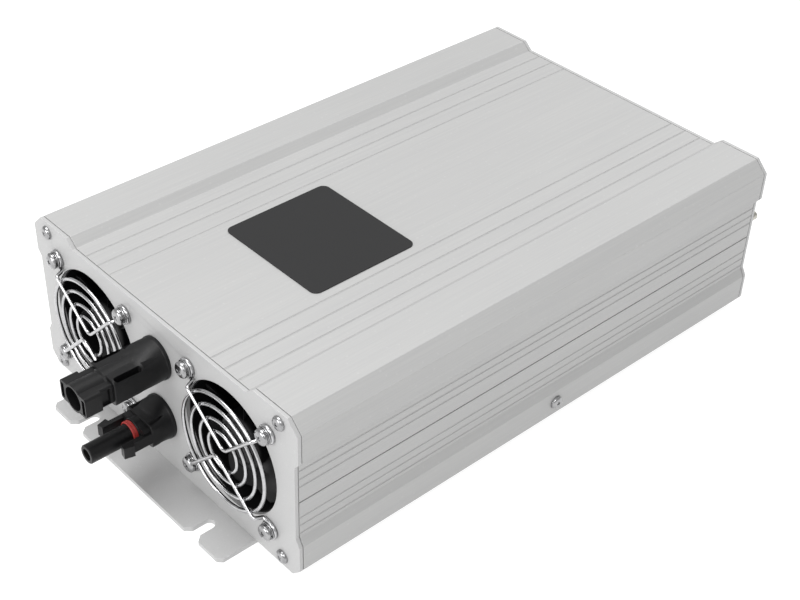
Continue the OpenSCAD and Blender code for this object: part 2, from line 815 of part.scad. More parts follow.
// ---- DC connectors: local z = 0 is the panel's front face ----
module socket_shape() {
  mouth_z = socket_body_len + socket_waist_len;
  cylinder(h = flange_rim, r = socket_flare_r);
  translate([0, 0, flange_rim]) cylinder(h = socket_flare_len, r1 = socket_flare_r, r2 = socket_neck_r);
  intersection() {
    cylinder(h = socket_body_len, r = socket_w / 2 + socket_round);
    block([socket_w, socket_h, socket_body_len]);
  }
  cylinder(h = mouth_z, r = socket_waist_r);
  translate([0, 0, socket_body_len - 1]) cylinder(h = socket_len - socket_body_len + 1, r = socket_tube_r);
  translate([0, 0, mouth_z]) intersection() {
    cylinder(h = socket_len - mouth_z, r = socket_w / 2 + socket_round);
    block([socket_w, socket_mouth_h, socket_len]);
  }
  translate([0, 0, -shank_len]) cylinder(h = shank_len + 1, d = shank_d);
}
module socket_connector_body() {
  color(black) at_front(0, socket_z) difference() {
    socket_shape();
    translate([0, 0, socket_len - socket_bore_len]) cylinder(h = socket_bore_len + 1, r = socket_bore_r);
    translate([0, 0, -shank_len - 1]) cylinder(h = socket_len, r = contact_r + thread_gap);
    for (x = [-pocket_x, pocket_x]) translate([x, 0, socket_len - pocket_len]) {
      block([pocket_w, pocket_h, pocket_len + 1]);
      block([pocket_w, side_window_h, side_window_len]);
    }
  }
}
module socket_connector_contact() {
  color(brass) at_front(0, socket_z) translate([0, 0, -contact_back]) difference() {
    cylinder(h = contact_back + socket_len - socket_pin_in, r = contact_r);
    translate([0, 0, contact_back + socket_len - socket_pin_in - socket_pin_hole])
      cylinder(h = socket_pin_hole + 1, r = pin_r + 2 * thread_gap);
  }
}
module prong() {
  // a springy locking arm with a hook at its tip
  translate([0, -prong_h / 2, 0]) cube([prong_w, prong_h, prong_len]);
  translate([0, -prong_h / 2, prong_len - hook_len]) rotate([-90, 0, 0]) linear_extrude(prong_h)
    polygon([[prong_w - eps, 0], [prong_w + hook_out, 0], [prong_w - eps, -hook_len]]);
}
module plug_connector_body() {
  color(black) at_front(0, plug_z) difference() {
    union() {
      cylinder(h = flange_rim, r = plug_flare_r);
      translate([0, 0, flange_rim]) cylinder(h = plug_flare_len, r1 = plug_flare_r, r2 = plug_neck_r);
      intersection() {
        cylinder(h = plug_block[2], r = plug_block_r);
        block(plug_block);
      }
      cylinder(h = nose_base, r = plug_core_r);
      translate([0, 0, nose_base - 1]) cylinder(h = seal_w + 1, r = nose_d / 2 + seal_seat);
      translate([0, 0, nose_base]) cylinder(h = plug_len - nose_base, d = nose_d);
      for (side = [0, 1]) mirror([side, 0, 0]) translate([prong_x, 0, prong_z]) prong();
      translate([0, 0, -shank_len]) cylinder(h = shank_len + 1, d = shank_d);
    }
    translate([0, 0, nose_base]) cylinder(h = plug_len, r = nose_bore_r);
    translate([0, 0, -shank_len - 1]) cylinder(h = plug_len, r = pin_r + thread_gap);
  }
}
module plug_connector_contact() {
  color(brass) at_front(0, plug_z) translate([0, 0, -contact_back])
    cylinder(h = contact_back + plug_len - plug_pin_in, r = pin_r);
}
module plug_connector_seal() {
  color([0.75, 0.12, 0.1]) at_front(0, plug_z) translate([0, 0, nose_base])
    rotate_extrude() translate([nose_d / 2 + seal_seat, 0]) square([seal_t, seal_w]);
}
module connector_nuts() {
  color(black) for (z = [socket_z, plug_z]) at_front(0, z) translate([0, 0, -panel_t - lock_nut_h])
    hex_nut(lock_nut_af, lock_nut_h, shank_d / 2 + thread_gap);
}
module dc_lead_positive() {
  start_y = front_y + contact_back;
  entry_z = board_top + block_entry;
  face_y = dc_block_y - block_size[1] / 2;
  color([0.7, 0.1, 0.1]) wire([
    [0, start_y + lead_end / 2, z0 + socket_z], [0, start_y + 5, z0 + socket_z],
    [-6, start_y + 10, z0 + socket_z - 12], [-6, start_y + 12, entry_z + 6],
    [-block_wire, face_y - 3, entry_z], [-block_wire, face_y - lead_end, entry_z]
  ], lead_r, [1, 0, 0]);
}
module dc_lead_negative() {
  start_y = front_y + contact_back;
  entry_z = board_top + block_entry;
  face_y = dc_block_y - block_size[1] / 2;
  color(black) wire([
    [0, start_y + lead_end / 2, z0 + plug_z], [0, start_y + 4, z0 + plug_z],
    [block_wire, face_y - 3, entry_z], [block_wire, face_y - lead_end, entry_z]
  ], lead_r, [1, 0, 0]);
}

// ---- Inside ----
module at_standoffs(z) {
  for (x = [-standoff_x, standoff_x], y = [-standoff_y, 0, standoff_y]) translate([x, y, z]) children();
}
module main_board() {
  color(board_green) difference() {
    translate([0, 0, board_top - board_t]) block([board_w, board_len, board_t]);
    at_standoffs(board_top - board_t - eps) cylinder(h = board_t + 2 * eps, r = small_screw_d / 2 + hole_gap);
  }
}
module board_standoffs() {
  color(brass) at_standoffs(floor_z) ring(small_screw_d / 2 + thread_gap, standoff_r, board_z - wall);
}
module board_screws() {
  color(bright) at_standoffs(board_top) pan_screw(small_screw_d, small_head_d, small_head_h, board_screw_len);
}
module heatsink(side) {
  // the foot steps over the screw channel in the shell's corner
  boss_side = corner_x - boss_r - sink_gap;
  boss_top = corner_low + boss_r + sink_gap;
  wall_face = inner_x - sink_touch;
  step_z = seam_h - tongue_h - 1;
  mirror([side < 0 ? 1 : 0, 0, 0]) difference() {
    along_y(board_len) {
      polygon([
        [inner_x - sink_foot, wall], [boss_side, wall], [boss_side, boss_top], [wall_face, boss_top],
        [wall_face, step_z], [inner_x - sink_step, step_z], [inner_x - sink_step, sink_h],
        [sink_face, sink_h], [sink_face, boss_top + sink_foot_t],
        [boss_side - sink_foot_t, boss_top + sink_foot_t], [boss_side - sink_foot_t, wall + sink_foot_t],
        [inner_x - sink_foot, wall + sink_foot_t]
      ]);
      for (i = [0 : 2]) translate([sink_face - fin_len, sink_h - fin_t - fin_pitch * i])
        square([fin_len + 1, fin_t]);
    }
    translate([sink_face - 1, side_screw_y, z0 + side_screw_z]) rotate([0, 90, 0])
      cylinder(h = 20, r = case_screw_d / 2 + thread_gap);
  }
}
module heatsink_left() { color(silver) heatsink(-1); }
module heatsink_right() { color(silver) heatsink(1); }
module power_transistors() {
  x = sink_face - pad_t - transistor[0];
  color(black) mirror_x() for (y = transistor_y) translate([x, y, board_top]) {
    translate([0, -transistor[1] / 2, transistor_lift]) cube(transistor);
    for (p = [-1, 0, 1] * leg_pitch) translate([leg_t, p - leg_w / 2, 0])
      cube([leg_t, leg_w, transistor_lift + 1]);
  }
}
module insulating_pads() {
  color([0.8, 0.8, 0.75]) mirror_x() for (y = transistor_y)
    translate([sink_face - pad_t, y - transistor[1] / 2 - pad_rim, board_top + transistor_lift - pad_rim])
      cube([pad_t, transistor[1] + 2 * pad_rim, transistor[2] + 2 * pad_rim]);
}
module inductor_cores() {
  color([0.25, 0.28, 0.25]) for (p = inductor_places)
    translate([p[0], p[1], board_top + winding_t]) ring(inductor_in, inductor_r, inductor_h);
}
module inductor_windings() {
  color(copper) for (p = inductor_places) translate([p[0], p[1], board_top]) rotate([0, 0, 120])
    rotate_extrude(angle = winding_turn) difference() {
      translate([inductor_in - winding_t, 0])
        square([inductor_r - inductor_in + 2 * winding_t, inductor_h + 2 * winding_t]);
      translate([inductor_in - winding_gap, winding_t - winding_gap])
        square([inductor_r - inductor_in + 2 * winding_gap, inductor_h + 2 * winding_gap]);
    }
}
module dc_link_capacitors() {
  color([0.12, 0.14, 0.2]) for (p = cap_places) translate([p[0], p[1], board_top]) {
    cylinder(h = cap_h - cap_rim, r = cap_r);
    translate([0, 0, cap_h - cap_rim]) cylinder(h = cap_rim, r1 = cap_r, r2 = cap_r - cap_rim);
  }
}
module film_capacitors() {
  color([0.8, 0.65, 0.2]) for (p = film_places) translate([p[0], p[1], board_top]) block(film_size);
}
module output_relays() {
  color(black) for (p = relay_places) translate([p[0], p[1], board_top]) block(relay_size);
}
module control_board() {
  color(board_green) translate([control_at[0], control_at[1], board_top]) {
    block(control_size);
    translate([-(control_size[0] + chip_size[0]) / 2, 0, control_size[2] / 3]) block(chip_size + [eps, 0, 0]);
    translate([-(control_size[0] + plug_size[0]) / 2, control_size[1] / 3, 0]) block(plug_size + [eps, 0, 0]);
  }
}
module terminal_block(x, y) {
  translate([x, y, board_top]) difference() {
    block(block_size);
    for (i = [-1, 1]) translate([i * block_size[0] / 4, 0, block_size[2] - block_hole_h])
      cylinder(h = block_hole_h + 1, r = block_hole_r);
  }
}
module terminal_blocks() {
  color([0.15, 0.4, 0.2]) {
    terminal_block(0, dc_block_y);
    terminal_block(ac_block_x, ac_block_y);
  }
}
module ac_leads() {
  face_y = ac_block_y + block_size[1] / 2;
  entry_z = board_top + block_entry;
  sleeve_y = rear_y + outlet_flange_t - outlet_depth - outlet_floor - sleeve_len;
  sleeve_z = z0 + outlet_z;
  color([0.35, 0.2, 0.1]) {
    for (i = [-1, 1]) wire([
      [ac_block_x + i * block_wire, face_y + lead_end / 2, entry_z],
      [ac_block_x + i * block_wire, face_y + 2, entry_z],
      [outlet_x + i * outlet_pitch / 2, sleeve_y - 5, sleeve_z],
      [outlet_x + i * outlet_pitch / 2, sleeve_y - lead_end, sleeve_z]
    ], ac_lead_r, [1, 0, 0]);
  }
}

// ---- Rear panel fittings: local z = 0 is the panel's outer face, local X points to -X ----
module ac_outlet_housing() {
  well_floor = outlet_flange_t - outlet_depth;
  color(black) at_rear(outlet_x, outlet_z) difference() {
    union() {
      block([outlet_size, outlet_size, outlet_flange_t]);
      translate([0, 0, well_floor - outlet_floor]) cylinder(h = outlet_depth, r = outlet_well_r + outlet_wall);
      translate([0, 0, well_floor - outlet_block[2]]) block(outlet_block);
    }
    translate([0, 0, well_floor]) cylinder(h = outlet_depth + 1, r = outlet_well_r);
    for (x = [-1, 1] * outlet_pitch / 2) translate([x, 0, 0]) {
      translate([0, 0, well_floor - outlet_floor - 1]) cylinder(h = outlet_floor + 2, r = sleeve_bore);
      translate([0, 0, well_floor - outlet_floor - 20]) cylinder(h = 20, r = sleeve_r + thread_gap);
    }
    four(outlet_screw_at, outlet_screw_at) translate([0, 0, -1])
      cylinder(h = outlet_flange_t + 2, r = small_screw_d / 2 + hole_gap);
  }
}
module ac_outlet_contacts() {
  start = outlet_flange_t - outlet_depth - outlet_floor;
  color(brass) at_rear(outlet_x, outlet_z) for (x = [-1, 1] * outlet_pitch / 2)
    translate([x, 0, start - sleeve_len]) difference() {
      cylinder(h = sleeve_len, r = sleeve_r);
      translate([0, 0, 2]) cylinder(h = sleeve_len, r = sleeve_bore);
    }
}
module ac_outlet_earth_clip() {
  well_floor = outlet_flange_t - outlet_depth;
  reach = sqrt(outlet_well_r * outlet_well_r - clip_w * clip_w / 4) - 0.05;
  color(bright) at_rear(outlet_x, outlet_z) translate([0, 0, well_floor]) {
    block([clip_w, 2 * reach, clip_t]);
    for (turn = [0, 180]) rotate([0, 0, turn]) {
      translate([-clip_w / 2, reach - clip_t, 0]) cube([clip_w, clip_t, clip_len]);
      translate([-clip_w / 2, reach - clip_t - clip_nib, clip_len - clip_nib])
        cube([clip_w, clip_nib + 0.1, clip_t]);
    }
  }
}
module ac_outlet_screws() {
  color(bright) at_rear(outlet_x, outlet_z) four(outlet_screw_at, outlet_screw_at)
    translate([0, 0, outlet_flange_t]) pan_screw(small_screw_d, small_head_d, small_head_h, outlet_screw_len);
}
module switch_housing() {
  color(black) at_rear(switch_x, switch_z) difference() {
    union() {
      block([switch_w, switch_h, switch_bezel]);
      translate([0, 0, -switch_deep]) block([switch_box_w, switch_box_h, switch_deep + 1]);
    }
    translate([0, 0, -cavity_deep])
      block([switch_box_w - 2 * switch_wall, switch_box_h - 2 * switch_wall, cavity_deep + 2 * switch_bezel]);
    translate([-switch_box_w / 2 - 1, 0, pivot_z]) rotate([0, 90, 0])
      cylinder(h = switch_box_w + 2, r = pivot_r + pivot_gap);
  }
}
module switch_rocker() {
  span = switch_h / 2 - rocker_gap;
  pin_len = switch_box_w - 0.2;
  color([0.12, 0.12, 0.12]) at_rear(switch_x, switch_z) translate([0, 0, pivot_z])
    rotate([rocker_throw / 2, 0, 0]) {
    rotate([90, 0, 90]) translate([0, 0, -rocker_w / 2]) linear_extrude(rocker_w) polygon([
      [-span, 6], [0, 4.2], [span, 6], [span - 0.8, 1.5], [4, -3], [-4, -3], [-span + 0.8, 1.5]
    ]);
    translate([-pin_len / 2, 0, 0]) rotate([0, 90, 0]) cylinder(h = pin_len, r = pivot_r);
  }
}
module display_bezel() {
  color(black) at_rear(display_x, display_z) difference() {
    union() {
      block([bezel_w, bezel_h, bezel_t]);
      translate([0, 0, -collar_deep]) block([collar_w, collar_h, collar_deep + 1]);
    }
    translate([0, 0, -collar_deep - 1]) block([view_w, view_h, 20]);
    translate([0, 0, bezel_t - window_t])
      block([window_w + 2 * window_gap, window_h + 2 * window_gap, bezel_t]);
  }
}
module display_window() {
  color([0.5, 0.6, 0.6, 0.4]) at_rear(display_x, display_z) translate([0, 0, bezel_t - window_t])
    block([window_w, window_h, window_t]);
}
module display_module() {
  // screen, circuit board with four push switches, and the pillars that hold it off the panel
  color(board_green) at_rear(display_x, display_z) {
    translate([0, 0, -module_z]) block([lcd_size[0], lcd_size[1], lcd_t]);
    translate([-pcb_w / 2, pcb_low, -module_z - board_t]) cube([pcb_w, pcb_top - pcb_low, board_t]);
    for (x = [-pillar_x, pillar_x], y = pillar_y) translate([x, y, -module_z])
      cylinder(h = module_z - panel_t, r = pillar_r);
    for (i = [-1.5 : 1 : 1.5]) translate([i * button_pitch, button_y, -module_z]) difference() {
      block(switch_body);
      translate([0, 0, switch_body[2] - 2.5]) cylinder(h = 4, r = plunger_r + button_gap);
    }
  }
}
module push_button(i) {
  cap_r = button_d / 2;
  collar_top = -panel_t - button_gap;
  stem_end = -module_z + switch_body[2] - plunger_in;
  at_rear(display_x, display_z) translate([i * button_pitch, button_y, 0]) {
    translate([0, 0, collar_top]) cylinder(h = button_proud - collar_top, r = cap_r);
    translate([0, 0, collar_top - button_collar]) cylinder(h = button_collar + eps, r = cap_r + button_collar);
    translate([0, 0, stem_end]) cylinder(h = collar_top - stem_end, r = plunger_r);
  }
}
module button_menu() { color(black) push_button(-1.5); }
module button_up() { color(black) push_button(-0.5); }
module button_down() { color(black) push_button(0.5); }
module button_enter() { color(black) push_button(1.5); }
module earth_stud() {
  color(brass) at_rear(stud_x, stud_z) {
    translate([0, 0, -panel_t - stud_head_h]) cylinder(h = stud_head_h, d = stud_head_af / cos(30), $fn = 6);
    translate([0, 0, -panel_t - eps]) cylinder(h = panel_t + stud_washer_t + stud_nut_h, r = stud_r);
    translate([0, 0, stud_washer_t + stud_nut_h - 1]) cylinder(h = stud_free_len + 1, r = stud_free_r);
    ring(stud_r + thread_gap, stud_washer_r, stud_washer_t);
    translate([0, 0, stud_washer_t]) hex_nut(stud_nut_af, stud_nut_h, stud_r + thread_gap);
  }
}

base_plate();
base_screws();
hex_nuts();
lower_shell();
upper_shell();
front_panel();
rear_panel();
panel_screws();
side_screws();
name_plate();
fan_left_frame();
fan_left_motor();
fan_left_rotor();
fan_left_guard();
fan_right_frame();
fan_right_motor();
fan_right_rotor();
fan_right_guard();
fan_screws();
fan_washers();
fan_spring_washers();
fan_leads();
socket_connector_body();
socket_connector_contact();
plug_connector_body();
plug_connector_contact();
plug_connector_seal();
connector_nuts();
dc_lead_positive();
dc_lead_negative();
main_board();
board_standoffs();
board_screws();
heatsink_left();
heatsink_right();
power_transistors();
insulating_pads();
inductor_cores();
inductor_windings();
dc_link_capacitors();
film_capacitors();
output_relays();
control_board();
terminal_blocks();
ac_leads();
ac_outlet_housing();
ac_outlet_contacts();
ac_outlet_earth_clip();
ac_outlet_screws();
switch_housing();
switch_rocker();
display_bezel();
display_window();
display_module();
button_menu();
button_up();
button_down();
button_enter();
earth_stud();
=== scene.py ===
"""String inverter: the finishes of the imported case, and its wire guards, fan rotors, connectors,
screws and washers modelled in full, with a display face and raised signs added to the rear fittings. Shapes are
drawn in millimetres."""
import json
import math

import bmesh
import bpy
from mathutils import Matrix, Vector


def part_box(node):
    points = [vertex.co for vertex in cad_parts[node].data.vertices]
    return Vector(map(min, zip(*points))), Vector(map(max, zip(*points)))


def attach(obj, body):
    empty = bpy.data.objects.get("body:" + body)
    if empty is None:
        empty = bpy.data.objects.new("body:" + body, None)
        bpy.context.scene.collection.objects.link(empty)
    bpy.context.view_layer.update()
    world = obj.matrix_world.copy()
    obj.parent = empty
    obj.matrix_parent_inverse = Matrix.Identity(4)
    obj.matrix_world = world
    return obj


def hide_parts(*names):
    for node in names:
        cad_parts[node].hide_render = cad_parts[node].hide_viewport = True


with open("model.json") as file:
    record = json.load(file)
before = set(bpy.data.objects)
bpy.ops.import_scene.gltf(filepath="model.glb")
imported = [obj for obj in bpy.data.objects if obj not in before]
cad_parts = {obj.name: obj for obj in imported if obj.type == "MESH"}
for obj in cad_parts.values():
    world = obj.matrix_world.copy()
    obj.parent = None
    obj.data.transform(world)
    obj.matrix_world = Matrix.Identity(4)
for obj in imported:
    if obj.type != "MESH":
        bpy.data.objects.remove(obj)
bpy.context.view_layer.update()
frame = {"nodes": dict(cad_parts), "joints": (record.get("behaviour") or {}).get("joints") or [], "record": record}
nodes = frame["nodes"]
MM = 0.001
TAU = 2 * math.pi
IN_PLACE = Matrix.Identity(4)
SIDES = (-1, 1)


def new_object(name, data):
    """An object linked to the scene."""
    obj = bpy.data.objects.new(name, data)
    bpy.context.scene.collection.objects.link(obj)
    return obj


def as_mesh(bm, name):
    """A mesh with a bmesh's content; the bmesh is used up."""
    mesh = bpy.data.meshes.new(name)
    bm.to_mesh(mesh)
    bm.free()
    return mesh


# ---- Camera, light and floor ----
CAMERA_PLACE = (0.3979, -0.3825, 0.4399)
CAMERA_HEADING, CAMERA_DIP, CAMERA_ROLL = 48.312, 38.055, 1.001
CAMERA_LENS, CAMERA_SHIFT = 67.32, (0.0479, 0.0229)
LIGHT_AIM = (0, 0, 0.04)
LIGHTS = {  # place, diameter and power
    "key_light": ((-0.4, -0.2, 1.7), 1.1, 19),
    "front_light": ((-0.1, -1.7, 0.6), 0.9, 12.5),
    "side_light": ((1.1, -0.9, 1.4), 0.9, 10),
    "back_light": ((-0.3, 1.8, 1.1), 0.9, 8),
}
SKY_STRENGTH = 0.6
FLOOR_HALF, FLOOR_GREY, FLOOR_ROUGHNESS, FLOOR_GLOW = 12, 0.32, 0.9, 0.79


def make_camera():
    """Looks down on the corner between the front panel and the case's right side."""
    camera = new_object("camera", bpy.data.cameras.new("camera"))
    heading = Matrix.Rotation(math.radians(CAMERA_HEADING), 4, "Z")
    tilt = Matrix.Rotation(math.radians(90 - CAMERA_DIP), 4, "X")
    roll = Matrix.Rotation(math.radians(CAMERA_ROLL), 4, "Z")
    camera.matrix_world = Matrix.Translation(CAMERA_PLACE) @ heading @ tilt @ roll
    camera.data.lens = CAMERA_LENS
    camera.data.shift_x, camera.data.shift_y = CAMERA_SHIFT
    bpy.context.scene.camera = camera


def soft_light(name, place, diameter, power):
    light = new_object(name, bpy.data.lights.new(name, "AREA"))
    light.data.shape = "DISK"
    light.data.size = diameter
    light.data.energy = power
    way = Vector(LIGHT_AIM) - Vector(place)
    light.matrix_world = Matrix.Translation(place) @ way.to_track_quat("-Z", "Y").to_matrix().to_4x4()


def make_floor():
    """A white floor that glows a little, so that the object's shadow on it stays faint."""
    bm = bmesh.new()
    bmesh.ops.create_grid(bm, x_segments=1, y_segments=1, size=FLOOR_HALF)
    floor = new_object("floor", as_mesh(bm, "floor"))
    finish = bpy.data.materials.new("studio_floor")
    finish.use_nodes = True
    shader = finish.node_tree.nodes["Principled BSDF"]
    shader.inputs["Base Color"].default_value = (FLOOR_GREY, FLOOR_GREY, FLOOR_GREY, 1)
    shader.inputs["Roughness"].default_value = FLOOR_ROUGHNESS
    shader.inputs["Emission Color"].default_value = (1, 1, 1, 1)
    shader.inputs["Emission Strength"].default_value = FLOOR_GLOW
    floor.data.materials.append(finish)


def make_studio():
    world = bpy.data.worlds.new("studio")
    world.use_nodes = True
    sky = world.node_tree.nodes["Background"]
    sky.inputs["Color"].default_value = (1, 1, 1, 1)
    sky.inputs["Strength"].default_value = SKY_STRENGTH
    bpy.context.scene.world = world
    for name, (place, diameter, power) in LIGHTS.items():
        soft_light(name, place, diameter, power)
    make_floor()
    bpy.context.scene.view_settings.view_transform = "Standard"


make_camera()
make_studio()


# ---- Finishes ----
def new_group(name, numbers, outputs):
    """A shader node group with vector and number inputs, and its input and output nodes."""
    group = bpy.data.node_groups.new(name, "ShaderNodeTree")
    for label, value in numbers.items():
        kind = "NodeSocketVector" if isinstance(value, tuple) else "NodeSocketFloat"
        group.interface.new_socket(label, in_out="INPUT", socket_type=kind).default_value = value
    for label in outputs:
        group.interface.new_socket(label, in_out="OUTPUT", socket_type="NodeSocketFloat")
    return group, group.nodes.new("NodeGroupInput"), group.nodes.new("NodeGroupOutput")


def make_grain_group():
    """Grain of a surface: noise on the piece's own coordinates, stretched along an axis."""
    group, given, result = new_group("surface_grain", {"Stretch": (1.0, 1.0, 1.0), "Scale": 400.0}, ["Grain"])
    place = group.nodes.new("ShaderNodeTexCoord")
    stretch = group.nodes.new("ShaderNodeVectorMath")
    stretch.operation = "MULTIPLY"
    noise = group.nodes.new("ShaderNodeTexNoise")
    noise.inputs["Detail"].default_value = 3
    noise.inputs["Roughness"].default_value = 0.6
    link = group.links.new
    link(place.outputs["Object"], stretch.inputs[0])
    link(given.outputs["Stretch"], stretch.inputs[1])
    link(stretch.outputs["Vector"], noise.inputs["Vector"])
    link(given.outputs["Scale"], noise.inputs["Scale"])
    link(noise.outputs["Fac"], result.inputs["Grain"])
    return group


def make_handling_group():
    """Faint marks of handling: broad smudges and a scatter of fine specks."""
    group, given, result = new_group("handling_marks", {"Size": 18.0, "Specks": 0.5}, ["Smudge", "Speck"])
    place = group.nodes.new("ShaderNodeTexCoord")
    noise = group.nodes.new("ShaderNodeTexNoise")
    noise.inputs["Detail"].default_value = 4
    cells = group.nodes.new("ShaderNodeTexVoronoi")
    cells.inputs["Scale"].default_value = 260
    near = group.nodes.new("ShaderNodeMapRange")
    near.inputs["From Min"].default_value = 0.16
    near.inputs["From Max"].default_value = 0.06
    speck = group.nodes.new("ShaderNodeMath")
    speck.operation = "MULTIPLY"
    link = group.links.new
    link(place.outputs["Object"], noise.inputs["Vector"])
    link(place.outputs["Object"], cells.inputs["Vector"])
    link(given.outputs["Size"], noise.inputs["Scale"])
    link(cells.outputs["Distance"], near.inputs["Value"])
    link(near.outputs["Result"], speck.inputs[0])
    link(given.outputs["Specks"], speck.inputs[1])
    link(noise.outputs["Fac"], result.inputs["Smudge"])
    link(speck.outputs["Value"], result.inputs["Speck"])
    return group


GRAIN = make_grain_group()
HANDLING = make_handling_group()


def placed_group(tree, group, **values):
    node = tree.nodes.new("ShaderNodeGroup")
    node.node_tree = group
    for label, value in values.items():
        node.inputs[label].default_value = value
    return node


def ramp(tree, source, low, high, start=0.3, end=0.7):
    """Spreads a value that runs from start to end between two other numbers."""
    spread = tree.nodes.new("ShaderNodeMapRange")
    spread.inputs["From Min"].default_value = start
    spread.inputs["From Max"].default_value = end
    spread.inputs["To Min"].default_value = low
    spread.inputs["To Max"].default_value = high
    tree.links.new(source, spread.inputs["Value"])
    return spread.outputs["Result"]


def blend_colours(tree, factor, first, second):
    """Mixes two colours; each is a socket or a plain colour."""
    mix = tree.nodes.new("ShaderNodeMix")
    mix.data_type = "RGBA"
    tree.links.new(factor, mix.inputs["Factor"])
    for socket, colour in ((mix.inputs[6], first), (mix.inputs[7], second)):
        if isinstance(colour, bpy.types.NodeSocket):
            tree.links.new(colour, socket)
        else:
            socket.default_value = (*colour, 1)
    return mix.outputs[2]


def surface(name, colour, other, rough, metallic=0.0, scale=600.0, stretch=(1, 1, 1), bump=0.02,
            rough_spread=0.06, coat=0.0, specks=0.0, size=18.0, shine=0.5):
    """A finish with a grain between two colours, uneven gloss and faint handling marks.
    The bump is in millimetres."""
    material = bpy.data.materials.new(name)
    material.use_nodes = True
    tree = material.node_tree
    shader = tree.nodes["Principled BSDF"]
    grain = placed_group(tree, GRAIN, Scale=scale, Stretch=stretch)
    marks = placed_group(tree, HANDLING, Size=size, Specks=specks)
    base = blend_colours(tree, ramp(tree, grain.outputs["Grain"], 0, 1), colour, other)
    lighter = tuple(min(1, 1.25 * c + 0.02) for c in other)
    base = blend_colours(tree, marks.outputs["Speck"], base, lighter)
    tree.links.new(base, shader.inputs["Base Color"])
    gloss = ramp(tree, marks.outputs["Smudge"], rough - rough_spread, rough + rough_spread)
    tree.links.new(gloss, shader.inputs["Roughness"])
    relief = tree.nodes.new("ShaderNodeBump")
    relief.inputs["Strength"].default_value = 1
    relief.inputs["Distance"].default_value = bump * MM
    tree.links.new(grain.outputs["Grain"], relief.inputs["Height"])
    tree.links.new(relief.outputs["Normal"], shader.inputs["Normal"])
    shader.inputs["Metallic"].default_value = metallic
    shader.inputs["Coat Weight"].default_value = coat
    shader.inputs["Specular IOR Level"].default_value = shine
    return material


ALONG_CASE = (1.0, 0.012, 1.0)
FINISHES = {
    "case_aluminium": surface(
        "anodised_extrusion", (0.42, 0.42, 0.42), (0.45, 0.45, 0.445), 0.55, 0.3,
        scale=1500, stretch=ALONG_CASE, bump=0.005, specks=0.2, size=9),
    "panel_aluminium": surface(
        "blasted_sheet", (0.44, 0.44, 0.44), (0.47, 0.47, 0.47), 0.55, 0.3,
        scale=2400, bump=0.010, specks=0.2, size=14),
    "bright_steel": surface(
        "bright_plating", (0.3, 0.3, 0.305), (0.42, 0.42, 0.425), 0.26, 1.0,
        scale=500, bump=0.004, rough_spread=0.08, size=120),
    "black_plastic": surface(
        "moulded_black", (0.003, 0.003, 0.0033), (0.0065, 0.0065, 0.007), 0.42,
        scale=2600, bump=0.03, rough_spread=0.08, size=90, shine=0.28),
    "fan_plastic": surface(
        "fan_black", (0.003, 0.003, 0.0034), (0.006, 0.006, 0.0065), 0.4,
        scale=1800, bump=0.012, rough_spread=0.07, size=60, shine=0.22),
    "label_film": surface(
        "printed_film", (0.017, 0.017, 0.0175), (0.023, 0.023, 0.0235), 0.5,
        scale=3000, bump=0.01, rough_spread=0.05, size=40, shine=0.22),
    "copper": surface(
        "enamelled_copper", (0.42, 0.15, 0.05), (0.56, 0.24, 0.1), 0.32, 0.9,
        scale=700, stretch=(1, 1, 0.05), bump=0.06, coat=0.3),
    "brass": surface(
        "turned_brass", (0.58, 0.44, 0.19), (0.7, 0.55, 0.27), 0.28, 1.0, scale=900, bump=0.006),
    "seal_rubber": surface(
        "red_rubber", (0.3, 0.02, 0.018), (0.38, 0.032, 0.027), 0.5, scale=1500),
    "red_insulation": surface(
        "red_lead", (0.4, 0.02, 0.02), (0.5, 0.035, 0.03), 0.42, scale=900),
    "black_insulation": surface(
        "black_lead", (0.014, 0.014, 0.015), (0.026, 0.026, 0.027), 0.45, scale=900),
    "pad_grey": surface(
        "silicone_pad", (0.5, 0.5, 0.48), (0.58, 0.58, 0.55), 0.7, scale=1200),
    "ferrite": surface(
        "coated_core", (0.05, 0.07, 0.06), (0.08, 0.1, 0.09), 0.55, scale=1200, bump=0.03),
    "capacitor_sleeve": surface(
        "shrunk_sleeve", (0.012, 0.016, 0.04), (0.02, 0.025, 0.06), 0.3,
        scale=300, stretch=(1, 1, 0.2), coat=0.4),
    "film_capacitor": surface(
        "cast_resin", (0.55, 0.36, 0.05), (0.64, 0.44, 0.08), 0.4, scale=900),
    "green_plastic": surface(
        "terminal_green", (0.03, 0.2, 0.06), (0.045, 0.26, 0.08), 0.4, scale=1400),
    "button_rubber": surface(
        "button_black", (0.02, 0.02, 0.021), (0.035, 0.035, 0.036), 0.5, scale=2600, size=120),
}
TINNED_BRASS = surface(
    "tinned_brass", (0.42, 0.41, 0.37), (0.5, 0.49, 0.45), 0.3, 1.0, scale=900, bump=0.006)
GUARD_CHROME = surface(
    "guard_chrome", (0.44, 0.44, 0.445), (0.56, 0.56, 0.57), 0.2, 1.0, scale=500, bump=0.004, size=120)
WHITE_INK = surface("white_ink", (0.7, 0.7, 0.69), (0.78, 0.78, 0.77), 0.5, scale=2000, bump=0.01)


def make_board():
    """Green board lacquer over straight copper tracks."""
    material = surface("board_lacquer", (0.012, 0.09, 0.04), (0.02, 0.13, 0.06), 0.35, scale=700,
                       bump=0.006, coat=0.5)
    tree = material.node_tree
    base = tree.nodes["Principled BSDF"].inputs["Base Color"]
    tracks = tree.nodes.new("ShaderNodeTexBrick")
    for label, value in {"Scale": 60.0, "Mortar Size": 0.03, "Brick Width": 0.9, "Row Height": 0.22}.items():
        tracks.inputs[label].default_value = value
    place = tree.nodes.new("ShaderNodeTexCoord")
    tree.links.new(place.outputs["Object"], tracks.inputs["Vector"])
    lacquer = base.links[0].from_socket
    tree.links.new(blend_colours(tree, tracks.outputs["Fac"], lacquer, (0.05, 0.2, 0.09)), base)
    return material


